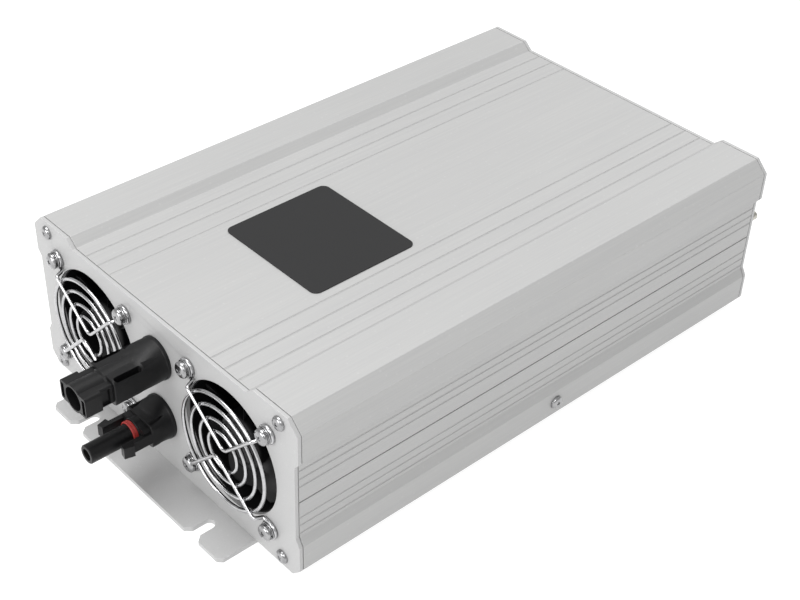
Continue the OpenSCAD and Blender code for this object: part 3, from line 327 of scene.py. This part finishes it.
def make_glass():
    """The display's clear window, lightly smoked."""
    material = bpy.data.materials.new("window_glass")
    material.use_nodes = True
    tree = material.node_tree
    shader = tree.nodes["Principled BSDF"]
    marks = placed_group(tree, HANDLING, Size=60.0, Specks=0.0)
    tree.links.new(ramp(tree, marks.outputs["Smudge"], 0.03, 0.1), shader.inputs["Roughness"])
    tint = blend_colours(tree, marks.outputs["Smudge"], (0.86, 0.9, 0.88), (0.9, 0.93, 0.91))
    tree.links.new(tint, shader.inputs["Base Color"])
    shader.inputs["Transmission Weight"].default_value = 0.95
    shader.inputs["IOR"].default_value = 1.2
    return material


def make_screen():
    """A reflective display at rest: pale green with two rows of faint character cells."""
    material = surface("display_face", (0.17, 0.22, 0.13), (0.19, 0.245, 0.145), 0.35, scale=900, bump=0.002)
    tree = material.node_tree
    base = tree.nodes["Principled BSDF"].inputs["Base Color"]
    place = tree.nodes.new("ShaderNodeTexCoord")
    shift = tree.nodes.new("ShaderNodeMapping")
    shift.inputs["Location"].default_value = (-0.0382, -0.048, 0)
    shift.inputs["Rotation"].default_value = (-math.pi / 2, 0, 0)
    cells = tree.nodes.new("ShaderNodeTexBrick")
    cells.offset = 0
    for label, value in {"Scale": 1.0, "Mortar Size": 0.00035, "Mortar Smooth": 0.0, "Brick Width": 0.0029,
                         "Row Height": 0.0058}.items():
        cells.inputs[label].default_value = value
    tree.links.new(place.outputs["Object"], shift.inputs["Vector"])
    tree.links.new(shift.outputs["Vector"], cells.inputs["Vector"])
    inside_cell = ramp(tree, cells.outputs["Fac"], 1, 0, 0, 1)
    plain = base.links[0].from_socket
    tree.links.new(blend_colours(tree, inside_cell, plain, (0.13, 0.175, 0.1)), base)
    return material


FINISHES["circuit_board"] = make_board()
FINISHES["display_glass"] = make_glass()
SLOT_OF = {part["node"]: part["material_slot"] for part in frame["record"]["subparts"]}
EASED = (  # nodes, width of the rounding and its segments
    (("upper_shell", "lower_shell"), 0.2, 3),
    (("front_panel", "rear_panel", "base_plate"), 0.12, 2),
    (("display_bezel", "switch_housing", "ac_outlet_housing"), 0.3, 3),
    (("button_menu", "button_up", "button_down", "button_enter", "switch_rocker"), 0.35, 3),
    (("name_plate",), 0.08, 1),
    (("earth_stud",), 0.15, 2),
)
EASE_ABOVE = 32


def ease_edges(obj, width, segments):
    """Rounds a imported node's sharp edges with modifiers, so that its own mesh stays as it is."""
    weld = obj.modifiers.new("weld", "WELD")
    weld.merge_threshold = 1e-6
    bevel = obj.modifiers.new("eased_edges", "BEVEL")
    bevel.width = width * MM
    bevel.segments = segments
    bevel.limit_method = "ANGLE"
    bevel.angle_limit = math.radians(EASE_ABOVE)
    bevel.use_clamp_overlap = True
    obj.modifiers.new("even_shading", "WEIGHTED_NORMAL").keep_sharp = True


def finish_nodes():
    for name, obj in nodes.items():
        obj.data.materials.clear()
        obj.data.materials.append(TINNED_BRASS if name == "earth_stud" else FINISHES[SLOT_OF[name]])
    for names, width, segments in EASED:
        for name in names:
            ease_edges(nodes[name], width, segments)


# ---- Shapes: each adds to a bmesh in millimetres ----
MERGE_WITHIN, CUT_MERGE_WITHIN = 1e-5, 1e-4
FLAT_BELOW = 0.5
def lathe(bm, profile, steps):
    """Turns points of (radius, height) round Z into a closed solid."""
    corners = [bm.verts.new((radius, 0, height)) for radius, height in profile]
    edges = [bm.edges.new(pair) for pair in zip(corners, corners[1:])]
    bmesh.ops.spin(bm, geom=corners + edges, cent=(0, 0, 0), axis=(0, 0, 1), angle=TAU, steps=steps,
                   use_merge=True)
    bmesh.ops.remove_doubles(bm, verts=bm.verts, dist=MERGE_WITHIN)


def hoop(bm, radius, height, wire_r):
    """A closed ring of round wire about Z."""
    turn = Matrix.Translation((radius, 0, height)) @ Matrix.Rotation(math.pi / 2, 4, "X")
    made = bmesh.ops.create_circle(bm, segments=14, radius=wire_r, matrix=turn)
    edges = list({e for v in made["verts"] for e in v.link_edges})
    bmesh.ops.spin(bm, geom=made["verts"] + edges, cent=(0, 0, 0), axis=(0, 0, 1), angle=TAU, steps=96,
                   use_merge=True)
    bmesh.ops.remove_doubles(bm, verts=bm.verts, dist=MERGE_WITHIN)


def bevel_edges(bm, edges, width, segments):
    bmesh.ops.bevel(bm, geom=edges, offset=width, offset_type="OFFSET", segments=segments, profile=0.5,
                    affect="EDGES", clamp_overlap=True, material=-1)


def slab(bm, size, centre, rounded=0.0, axis=2, segments=6, turn=IN_PLACE):
    """A box; the edges along one axis can be rounded."""
    shape = Matrix.Translation(centre) @ turn @ Matrix.Diagonal((*size, 1))
    made = bmesh.ops.create_cube(bm, size=1, matrix=shape)
    if rounded:
        along = (turn.to_3x3() @ Matrix.Identity(3).col[axis]).normalized()
        edges = [e for e in {e for v in made["verts"] for e in v.link_edges}
                 if abs((e.verts[0].co - e.verts[1].co).normalized().dot(along)) > 0.99]
        bevel_edges(bm, edges, rounded, segments)


def loft(bm, sections, steps=96):
    """A closed solid through sections of (height, half width, half depth, squareness); 2 is an ellipse."""
    rings = []
    for height, wide, deep, square in sections:
        ring = []
        for i in range(steps):
            c, s = math.cos(TAU * i / steps), math.sin(TAU * i / steps)
            reach = (abs(c / wide) ** square + abs(s / deep) ** square) ** (-1 / square)
            ring.append(bm.verts.new((reach * c, reach * s, height)))
        rings.append(ring)
    for low, high in zip(rings, rings[1:]):
        for i in range(steps):
            j = (i + 1) % steps
            bm.faces.new((low[i], low[j], high[j], high[i]))
    bm.faces.new(rings[0])
    bm.faces.new(rings[-1])


def soften(bm, width, segments, angle):
    """Bevels every edge that is sharper than an angle."""
    limit = math.radians(angle)
    sharp = [e for e in bm.edges if len(e.link_faces) == 2 and e.calc_face_angle(0) > limit]
    bevel_edges(bm, sharp, width, segments)


def evaluated(obj):
    """A bmesh of an object with its modifiers or its curve's thickness; the object is removed."""
    bpy.context.view_layer.update()
    made = bpy.data.meshes.new_from_object(obj.evaluated_get(bpy.context.evaluated_depsgraph_get()))
    bpy.data.objects.remove(obj)
    bm = bmesh.new()
    bm.from_mesh(made)
    return bm


def carve(solid, cutter):
    """Joins the solid's overlapping shapes into one and cuts the cutter out of it."""
    for bm in (solid, cutter):
        bmesh.ops.recalc_face_normals(bm, faces=bm.faces)
    body = new_object("carved", as_mesh(solid, "carved"))
    tool = new_object("cutter", as_mesh(cutter, "cutter"))
    cut = body.modifiers.new("cut", "BOOLEAN")
    cut.object = tool
    cut.operation = "DIFFERENCE"
    cut.solver = "EXACT"
    cut.use_self = True
    result = evaluated(body)
    bpy.data.objects.remove(tool)
    bmesh.ops.remove_doubles(result, verts=result.verts, dist=CUT_MERGE_WITHIN)
    bmesh.ops.dissolve_limit(result, angle_limit=math.radians(FLAT_BELOW), verts=result.verts,
                            edges=result.edges)
    return result


def drawn_wire(name, paths, wire_r):
    """Round wires along smooth curves, as one bmesh."""
    curve = bpy.data.curves.new(name, "CURVE")
    curve.dimensions = "3D"
    curve.bevel_depth = wire_r
    curve.bevel_resolution = 4
    curve.use_fill_caps = True
    for points in paths:
        line = curve.splines.new("NURBS")
        line.points.add(len(points) - 1)
        for spot, point in zip(line.points, points):
            spot.co = (*point, 1)
        line.order_u = 3
        line.resolution_u = 5
        line.use_endpoint_u = True
    bm = evaluated(new_object(name, curve))
    bmesh.ops.remove_doubles(bm, verts=bm.verts, dist=MERGE_WITHIN)
    return bm


def repeated(source, places):
    """A bmesh with a copy of the source at each place; the source is used up."""
    mesh = as_mesh(source, "pattern")
    bm = bmesh.new()
    for place in places:
        before = len(bm.verts)
        bm.from_mesh(mesh)
        bm.verts.ensure_lookup_table()
        bmesh.ops.transform(bm, matrix=place, verts=bm.verts[before:])
    return bm


def piece(name, bm, place, slot, body="case", stands_for=(), smooth_below=40, finish=None):
    """Puts a bmesh in its place, gives it its finish and lets it ride on a body."""
    bmesh.ops.transform(bm, matrix=place, verts=bm.verts)
    bmesh.ops.recalc_face_normals(bm, faces=bm.faces)
    limit = math.radians(smooth_below)
    for face in bm.faces:
        face.smooth = True
    for edge in bm.edges:
        edge.smooth = len(edge.link_faces) == 2 and edge.calc_face_angle(0) < limit
    obj = new_object(name, as_mesh(bm, name))
    obj.data.materials.append(finish or FINISHES[slot])
    obj.modifiers.new("even_shading", "WEIGHTED_NORMAL").keep_sharp = True
    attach(obj, body)
    if stands_for:
        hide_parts(*stands_for)


# ---- Places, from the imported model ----
FRONT_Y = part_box("front_panel")[0].y
REAR_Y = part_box("rear_panel")[1].y


def middle(node):
    low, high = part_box(node)
    return (low + high) / 2


def on_front(x, z):
    """A place on the front panel: local Z points out of it and local Y up, in millimetres."""
    return Matrix.Translation((x, FRONT_Y, z)) @ Matrix.Rotation(math.pi / 2, 4, "X") @ Matrix.Scale(MM, 4)


def on_rear(x, z):
    """The same on the rear panel; local X then points to the case's left."""
    turn = Matrix.Rotation(math.pi, 4, "Z") @ Matrix.Rotation(math.pi / 2, 4, "X")
    return Matrix.Translation((x, REAR_Y, z)) @ turn @ Matrix.Scale(MM, 4)


# ---- Screws and washers ----
PAN_HEAD_D, PAN_HEAD_H, PAN_SHANK_D = 6.2, 1.9, 3.5
CORNER_SCREW_LENGTH, SIDE_SCREW_LENGTH = 12, 10
CORNER_SCREW_TURNS = (0.3, 1.1, 0.7, 0.1)
FAN_HEAD_D, FAN_SHANK_D = 7.2, 4
HEAD_CURVE = [(0, 1), (0.35, 0.985), (0.62, 0.92), (0.82, 0.78), (0.95, 0.55), (1, 0.3)]
RECESS_TIP, RECESS_TOP, RECESS_ARM, RECESS_LEVEL = 0.1, 0.34, 0.3, 0.88
SHANK_EDGE = 0.4
WASHER_BORE_R, WASHER_R, WASHER_BORE_EDGE, WASHER_EDGE = 2.25, 3.9, 0.12, 0.15
SPRING_BORE_R, SPRING_R, SPRING_SHARE, SPRING_STEPS, SPRING_TURN = 2.3, 3.5, 0.72, 44, 350
FAN_X = middle("fan_right_frame").x
FAN_Z = middle("fan_right_frame").z
EAR = 25  # from a fan's middle to its screws, across and up
EARS = [(x, y) for x in (-EAR, EAR) for y in (-EAR, EAR)]


def cross_screw(head_d, head_h, shank_d, shank_length):
    """A pan head with a rounded rim and a tapered cross recess, over a plain shank."""
    r = head_d / 2
    solid = bmesh.new()
    lathe(solid, [(across * r, up * head_h) for across, up in HEAD_CURVE]
          + [(r, 0.08), (0.97 * r, 0), (shank_d / 2, 0), (shank_d / 2, SHANK_EDGE - shank_length),
             (shank_d / 2 - SHANK_EDGE, -shank_length), (0, -shank_length)], 40)
    cutter = bmesh.new()
    arm = bmesh.ops.create_cone(cutter, cap_ends=True, segments=4, radius1=RECESS_TIP * head_d,
                                radius2=RECESS_TOP * head_d, depth=head_h)
    bmesh.ops.rotate(cutter, verts=arm["verts"], cent=(0, 0, 0), matrix=Matrix.Rotation(TAU / 8, 3, "Z"))
    bmesh.ops.scale(cutter, vec=(1.0, RECESS_ARM, 1.0), verts=arm["verts"])
    twin = bmesh.ops.duplicate(cutter, geom=cutter.verts[:] + cutter.edges[:] + cutter.faces[:])["geom"]
    bmesh.ops.rotate(cutter, verts=[v for v in twin if isinstance(v, bmesh.types.BMVert)], cent=(0, 0, 0),
                     matrix=Matrix.Rotation(TAU / 4, 3, "Z"))
    bmesh.ops.translate(cutter, verts=cutter.verts, vec=(0, 0, head_h * RECESS_LEVEL))
    return carve(solid, cutter)


def corner_screws():
    """Four on the front panel and four on the rear one."""
    low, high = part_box("panel_screws")
    inset = PAN_HEAD_D / 2 * MM
    corners = [(x, z) for x in (inset - high.x, high.x - inset) for z in (low.z + inset, high.z - inset)]
    places = [put(*corner) @ Matrix.Rotation(turn, 4, "Z")
              for put in (on_front, on_rear) for corner, turn in zip(corners, CORNER_SCREW_TURNS)]
    screw = cross_screw(PAN_HEAD_D, PAN_HEAD_H, PAN_SHANK_D, CORNER_SCREW_LENGTH)
    piece("case_corner_screws", repeated(screw, places), IN_PLACE, "bright_steel", stands_for=["panel_screws"])


def flank_screws():
    """One in the middle of each side."""
    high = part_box("side_screws")[1]
    spot = middle("side_screws")
    places = []
    for side in (1, -1):
        seat = Vector((side * (high.x - PAN_HEAD_H * MM), spot.y, spot.z))
        places.append(Matrix.Translation(seat) @ Matrix.Rotation(side * math.pi / 2, 4, "Y") @ Matrix.Scale(MM, 4))
    screw = cross_screw(PAN_HEAD_D, PAN_HEAD_H, PAN_SHANK_D, SIDE_SCREW_LENGTH)
    piece("case_side_screws", repeated(screw, places), IN_PLACE, "bright_steel", stands_for=["side_screws"])


def at_ears(height):
    """Places at a height over the two fans' screw holes, each with a turn of its own."""
    return [on_front(side * FAN_X, FAN_Z) @ Matrix.Translation((x, y, height)) @ Matrix.Rotation(x + 2 * y, 4, "Z")
            for side in SIDES for x, y in EARS]


def flat_washer(thick):
    bm = bmesh.new()
    bore, rim, top = WASHER_BORE_R + WASHER_BORE_EDGE, WASHER_R - WASHER_EDGE, thick - WASHER_EDGE
    lathe(bm, [(WASHER_BORE_R, WASHER_BORE_EDGE), (bore, 0), (rim, 0), (WASHER_R, WASHER_EDGE), (WASHER_R, top),
               (rim, thick), (bore, thick), (WASHER_BORE_R, thick - WASHER_BORE_EDGE),
               (WASHER_BORE_R, WASHER_BORE_EDGE)], 48)
    return bm


def spring_washer(height):
    """One open turn of square wire that climbs to its height."""
    bm = bmesh.new()
    thick = SPRING_SHARE * height
    ends = [bm.verts.new((radius, 0, level)) for radius, level in
            ((SPRING_BORE_R, 0), (SPRING_R, 0), (SPRING_R, thick), (SPRING_BORE_R, thick))]
    face = bm.faces.new(ends)
    bmesh.ops.spin(bm, geom=[face] + list(face.edges) + ends, cent=(0, 0, 0), axis=(0, 0, 1),
                   angle=math.radians(SPRING_TURN), dvec=(0, 0, (height - thick) / SPRING_STEPS),
                   steps=SPRING_STEPS)
    soften(bm, 0.1, 2, 60)
    return bm


def fan_fasteners():
    """Flat washers, split spring washers and screws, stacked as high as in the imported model."""
    flat_seat = (FRONT_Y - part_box("fan_washers")[1].y) / MM
    spring_seat = (FRONT_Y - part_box("fan_spring_washers")[1].y) / MM
    head_seat = (FRONT_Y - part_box("fan_spring_washers")[0].y) / MM
    low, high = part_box("fan_screws")
    head_h = (FRONT_Y - low.y) / MM - head_seat
    screw = cross_screw(FAN_HEAD_D, head_h, FAN_SHANK_D, (high.y - low.y) / MM - head_h)
    for name, source, seat, node in (
            ("guard_washers", flat_washer(spring_seat - flat_seat), flat_seat, "fan_washers"),
            ("guard_spring_washers", spring_washer(head_seat - spring_seat), spring_seat, "fan_spring_washers"),
            ("fan_fixing_screws", screw, head_seat, "fan_screws")):
        piece(name, repeated(source, at_ears(seat)), IN_PLACE, "bright_steel", stands_for=[node])


# ---- Fans ----
WIRE_R = 0.8
RING_RADII, RING_Z = (9, 14.5, 20.5, 26), 3.4
ARM_TIP = Vector((2.6, 2.4, 0))
EYE_R, EYE_LIFT, EYE_POINTS, EYE_START, EYE_STEP = 3.6, 0.05, 13, 170, 25
RING_OVERLAP = 0.12
BLADES, BLADE_ROOT, BLADE_TIP, BLADE_RISE, BLADE_T = 7, 12.2, 27.5, 15.0, 1.1
BLADE_LEVEL, BLADE_CAMBER, BLADE_SWEEP, BLADE_SPREAD, BLADE_TAPER = -12.6, 1.5, 16, 48, 10
HUB_FACE, HUB_END, SHAFT_END, SHAFT_R = -4.9, -22.9, -23.8, 1.5


def guard_wire(side):
    """An arm of a bent wire, from an open eye round a screw over an S bend to the tip beside the middle."""
    eye_z = WIRE_R + EYE_LIFT
    top_z = RING_Z + 2 * WIRE_R - RING_OVERLAP
    ear = Vector((side * EAR, EAR, 0))
    way = (ear - ARM_TIP).normalized()
    across = Vector((-way.y, way.x, 0)) * side
    points = []
    for step in range(EYE_POINTS):
        angle = math.radians(EYE_START - step * EYE_STEP)
        points.append(ear + EYE_R * (math.cos(angle) * way + math.sin(angle) * across) + Vector((0, 0, eye_z)))
    length = (ear - ARM_TIP).length
    for back, aside, height in ((4.6, 1.3, eye_z), (5.6, 0.9, eye_z + 0.3), (6.6, 0.4, top_z - 0.5),
                                (7.6, 0.05, top_z), (9.5, 0, top_z), (18, 0, top_z), (length - 5, 0, top_z),
                                (length - 1.7, 0, top_z)):
        points.append(ear - way * back - across * aside + Vector((0, 0, height)))
    return points


def finger_guard(side, name):
    """Four rings under two bent wires."""
    rings = bmesh.new()
    for radius in RING_RADII:
        hoop(rings, radius, RING_Z, WIRE_R)
    upper = guard_wire(-1) + list(reversed(guard_wire(1)))
    lower = [Vector((-p.x, -p.y, p.z)) for p in upper]
    bm = drawn_wire("guard_wires", [upper, lower], WIRE_R)
    bm.from_mesh(as_mesh(rings, "rings"))
    piece(f"{name}_finger_guard", bm, on_front(side * FAN_X, FAN_Z), "bright_steel",
          stands_for=[f"fan_{name}_guard"], smooth_below=60, finish=GUARD_CHROME)


def fan_blade():
    """One swept blade from a grid: it leans with the turn and thins to its edges."""
    bm = bmesh.new()
    bmesh.ops.create_grid(bm, x_segments=10, y_segments=8, size=0.5)
    for v in bm.verts:
        out, chord = v.co.x + 0.5, v.co.y
        radius = BLADE_ROOT + (BLADE_TIP - BLADE_ROOT) * out
        sweep = math.radians(BLADE_SWEEP) * out * out
        spread = math.radians(BLADE_SPREAD - BLADE_TAPER * out)
        angle = sweep + spread * chord
        camber = BLADE_CAMBER * (1 - 4 * chord * chord)
        height = BLADE_LEVEL - BLADE_RISE * (0.5 - 0.1 * out) * 2 * chord + camber
        v.co = (radius * math.cos(angle), radius * math.sin(angle), height)
    bmesh.ops.solidify(bm, geom=bm.faces[:], thickness=BLADE_T)
    soften(bm, 0.3, 2, 60)
    return bm


def fan_rotor(side, name, body):
    """Seven blades on a hub cap with a shaft, and a plain disc on the hub."""
    place = on_front(side * FAN_X, FAN_Z)
    bm = repeated(fan_blade(), [Matrix.Rotation(TAU * i / BLADES, 4, "Z") for i in range(BLADES)])
    lathe(bm, [(0, HUB_FACE), (9.2, HUB_FACE), (9.5, -4.6), (10.9, -4.5), (11.9, -4.8), (12.4, -5.5),
               (12.5, -6.6), (12.5, HUB_END), (11.2, HUB_END), (11.2, -6.2), (SHAFT_R, -6.2),
               (SHAFT_R, SHAFT_END), (0, SHAFT_END)], 72)
    piece(f"{name}_fan_rotor", bm, place, "fan_plastic", body, [f"fan_{name}_rotor"], smooth_below=38)
    sticker = bmesh.new()
    lathe(sticker, [(0, -4.68), (8.6, -4.68), (8.7, -4.75), (8.7, HUB_FACE), (0, HUB_FACE)], 64)
    piece(f"{name}_fan_hub_disc", sticker, place, "label_film", body)


# ---- DC connectors ----
NECK = [(0, -16), (5.7, -16), (6, -15.7), (6, 1), (0, 1)]
BELOW_NECK = -17
MOUTH_BORE_R, MOUTH_DEPTH, SOCKET_CONTACT_R = 5.2, 23, 2.45
NOSE_R, NOSE_BORE_R, PLUG_CONTACT_R, SEAL_SEAT_R, PRONG_SLANT = 4.2, 2.6, 1.55, 4.5, 14
POCKET_DEPTH = 2.4
SOCKET_FLARE = [
    (0, 9.5, 9.5, 2), (0.25, 9.75, 9.75, 2), (1.4, 9.75, 9.75, 2), (1.8, 9.5, 9.5, 2), (5, 9.3, 8.8, 2.4),
    (9, 9.1, 7.7, 3.2), (12.5, 9.0, 6.7, 4.6), (14.5, 8.95, 6.3, 7), (25.7, 8.95, 6.2, 8), (26, 8.7, 6.0, 8)]
PLUG_FLARE = [
    (0, 10, 10, 2), (0.25, 10.2, 10.2, 2), (1.4, 10.2, 10.2, 2), (1.8, 9.95, 9.95, 2), (3.6, 9.7, 9.0, 2.3),
    (5.6, 9.45, 7.7, 3), (7.4, 9.3, 6.5, 4.6), (8.6, 9.25, 6.0, 7), (11.2, 9.2, 5.9, 8), (11.5, 8.95, 5.7, 8)]
SEAL = [(4.52, 15.05), (4.9, 15.05), (5.1, 15.25), (5.1, 16.0), (4.9, 16.2), (5.1, 16.4), (5.1, 17.15),
        (4.9, 17.38), (4.52, 17.38), (4.52, 15.05)]


def flared_body(node, flare):
    """A connector's place, how far it reaches out, and a solid with its neck and flare."""
    place = on_front(middle(node).x, middle(node).z)
    reach = (FRONT_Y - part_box(node)[0].y) / MM
    solid = bmesh.new()
    lathe(solid, NECK, 48)
    loft(solid, flare)
    return place, reach, solid


def flank_pocket(cutter, x, y, z, length, width):
    """A pointed pocket in a flare: wide at the body's end and closing towards the panel."""
    wedge = bmesh.ops.create_cone(cutter, cap_ends=True, segments=4, radius1=0.1, radius2=1, depth=length)
    spot = Matrix.Translation((x, y, z)) @ Matrix.Diagonal((width / 2, POCKET_DEPTH, 1, 1))
    bmesh.ops.transform(cutter, matrix=spot, verts=wedge["verts"])


def housing(name, node, solid, cutter, place):
    """Cuts a connector's housing out, softens its edges and puts it in its place."""
    bm = carve(solid, cutter)
    soften(bm, 0.2, 2, 40)
    piece(name, bm, place, "black_plastic", stands_for=[node], smooth_below=30)


def socket_connector():
    """The upper connector: a round flare that turns into an oblong body with side windows, a waist, and
    an oblong mouth with a round bore between two slits."""
    node = "socket_connector_body"
    place, reach, solid = flared_body(node, SOCKET_FLARE)
    lathe(solid, [(0, 9), (6.8, 9), (6.8, 26.5), (6.25, 27.2), (6.25, reach - 0.2), (6.05, reach), (0, reach)], 72)
    slab(solid, (15.2, 9.4, 9), (0, 0, 29.5), rounded=1.2, segments=4)
    slab(solid, (17.9, 9.6, 7.5), (0, 0, reach - 3.75), rounded=1.3, segments=4)
    cutter = bmesh.new()
    floor_z = reach - MOUTH_DEPTH
    lathe(cutter, [(0, floor_z - 1), (4.6, floor_z - 1), (MOUTH_BORE_R, floor_z), (MOUTH_BORE_R, reach + 1),
                   (0, reach + 1)], 64)
    lathe(cutter, [(0, BELOW_NECK), (SOCKET_CONTACT_R, BELOW_NECK), (SOCKET_CONTACT_R, floor_z), (0, floor_z)], 40)
    for side in SIDES:
        slab(cutter, (2.0, 7.3, 13), (side * 7.35, 0, reach - 5.5), rounded=0.4, segments=2)
        slab(cutter, (2.5, 20, 12.4), (side * 7.25, 0, 18.7), rounded=1.0, axis=1, segments=4)
        for top in SIDES:
            flank_pocket(cutter, side * 7.1, top * 6.6, 7.8, 7.4, 3.4)
    housing("dc_socket_housing", node, solid, cutter, place)


def plug_connector():
    """The lower connector: a round flare that turns into a flat block with two locking prongs, and a nose
    with a red seal round its root."""
    node = "plug_connector_body"
    place, reach, solid = flared_body(node, PLUG_FLARE)
    slab(solid, (16.0, 9.0, 4), (0, 0, 12.6), rounded=1.4)
    lathe(solid, [(0, 8), (5.6, 8), (5.6, 14.8), (5.4, 15), (SEAL_SEAT_R, 15),
                  (SEAL_SEAT_R, 17.38), (NOSE_R, 17.4), (NOSE_R, reach - 0.35), (3.9, reach), (0, reach)], 72)
    for side in SIDES:
        slab(solid, (2.4, 5.4, 15.0), (side * 7.9, 0, 17.4), rounded=0.35, segments=2)
        slant = Matrix.Rotation(math.radians(-side * PRONG_SLANT), 4, "Y")
        slab(solid, (2.3, 5.4, 4.6), (side * 9.0, 0, 22.9), turn=slant)
    cutter = bmesh.new()
    lathe(cutter, [(0, 15), (NOSE_BORE_R, 15), (NOSE_BORE_R, reach - 0.3), (2.9, reach + 1), (0, reach + 1)], 48)
    lathe(cutter, [(0, BELOW_NECK), (PLUG_CONTACT_R, BELOW_NECK), (PLUG_CONTACT_R, 16), (0, 16)], 32)
    for side in SIDES:
        for top in SIDES:
            flank_pocket(cutter, side * 6.6, top * 6.3, 6.4, 8.6, 2.4)
    housing("dc_plug_housing", node, solid, cutter, place)
    seal = bmesh.new()
    lathe(seal, SEAL, 64)
    piece("dc_plug_seal", seal, place, "seal_rubber", stands_for=["plug_connector_seal"])


# ---- Rear fittings ----
SCREEN_SIZE, SCREEN_Z = (49.8, 15.8, 0.3), -3.8
MASK_SIZE, MASK_OPENING, MASK_Z = (51.4, 17.4, 0.25), (46.6, 13.2, 2), 1.16
ROCKER_AXIS_Z = -3  # from the rear panel's face
ROCKER_MARK_Y, ROCKER_MARK_Z = 6.6, 5.25
ROCKER_SLOPE = math.atan2(1.8, 11.9)
MARK_T = 0.2


def display_screen():
    """The display's face behind the window, and a dark mask round the window."""
    spot = middle("display_window")
    place = on_rear(spot.x, spot.z)
    screen = bmesh.new()
    slab(screen, SCREEN_SIZE, (0, 0, SCREEN_Z))
    soften(screen, 0.08, 1, 60)
    piece("display_screen", screen, place, "display_glass", finish=make_screen())
    mask, opening = bmesh.new(), bmesh.new()
    slab(mask, MASK_SIZE, (0, 0, MASK_Z))
    slab(opening, MASK_OPENING, (0, 0, MASK_Z), rounded=1.0, segments=4)
    piece("display_mask", carve(mask, opening), place, "black_plastic")


def rocker_marks():
    """A bar and a ring on the two halves of the rocker's face."""
    spot = middle("switch_housing")
    throw = next(j for j in frame["joints"] if j["name"] == "rocker_tilt")["range_deg"][1]
    seat = (on_rear(spot.x, spot.z) @ Matrix.Translation((0, 0, ROCKER_AXIS_Z))
            @ Matrix.Rotation(math.radians(throw / 2), 4, "X"))
    bar, ring = bmesh.new(), bmesh.new()
    slab(bar, (1.0, 4.4, MARK_T), (0, 0, 0.02), rounded=0.3, segments=3)
    lathe(ring, [(1.5, -0.08), (2.3, -0.08), (2.3, 0.12), (1.5, 0.12), (1.5, -0.08)], 40)
    for mark, half in ((bar, -1), (ring, 1)):
        place = (Matrix.Translation((0, half * ROCKER_MARK_Y, ROCKER_MARK_Z))
                 @ Matrix.Rotation(half * ROCKER_SLOPE, 4, "X"))
        bmesh.ops.transform(mark, matrix=place, verts=mark.verts)
    bar.from_mesh(as_mesh(ring, "ring"))
    piece("rocker_marks", bar, seat, "button_rubber", "rocker", finish=WHITE_INK)


def button_marks():
    """Raised signs on the push buttons: bars, two arrows and a ring."""
    for name in ("menu", "up", "down", "enter"):
        spot = middle(f"button_{name}")
        top = (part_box(f"button_{name}")[1].y - REAR_Y) / MM
        low, high = top - MARK_T / 2, top + MARK_T / 2
        bm = bmesh.new()
        if name == "menu":
            for level in (-1.3, 0, 1.3):
                slab(bm, (3.2, 0.55, MARK_T), (0, level, top))
        elif name == "enter":
            lathe(bm, [(1.1, low), (1.7, low), (1.7, high), (1.1, high), (1.1, low)], 32)
        else:
            arrow = bmesh.ops.create_cone(bm, cap_ends=True, segments=3, radius1=1.9, radius2=1.9, depth=MARK_T)
            turn = Matrix.Rotation(math.pi / 2 if name == "up" else -math.pi / 2, 4, "Z")
            bmesh.ops.transform(bm, matrix=Matrix.Translation((0, 0, top)) @ turn, verts=arrow["verts"])
        piece(f"{name}_button_mark", bm, on_rear(spot.x, spot.z), "button_rubber", f"{name}_button",
              finish=WHITE_INK)


finish_nodes()
corner_screws()
flank_screws()
fan_fasteners()
for side, name in zip(SIDES, ("left", "right")):
    finger_guard(side, name)
    fan_rotor(side, name, f"{name}_rotor")
socket_connector()
plug_connector()
display_screen()
rocker_marks()
button_marks()
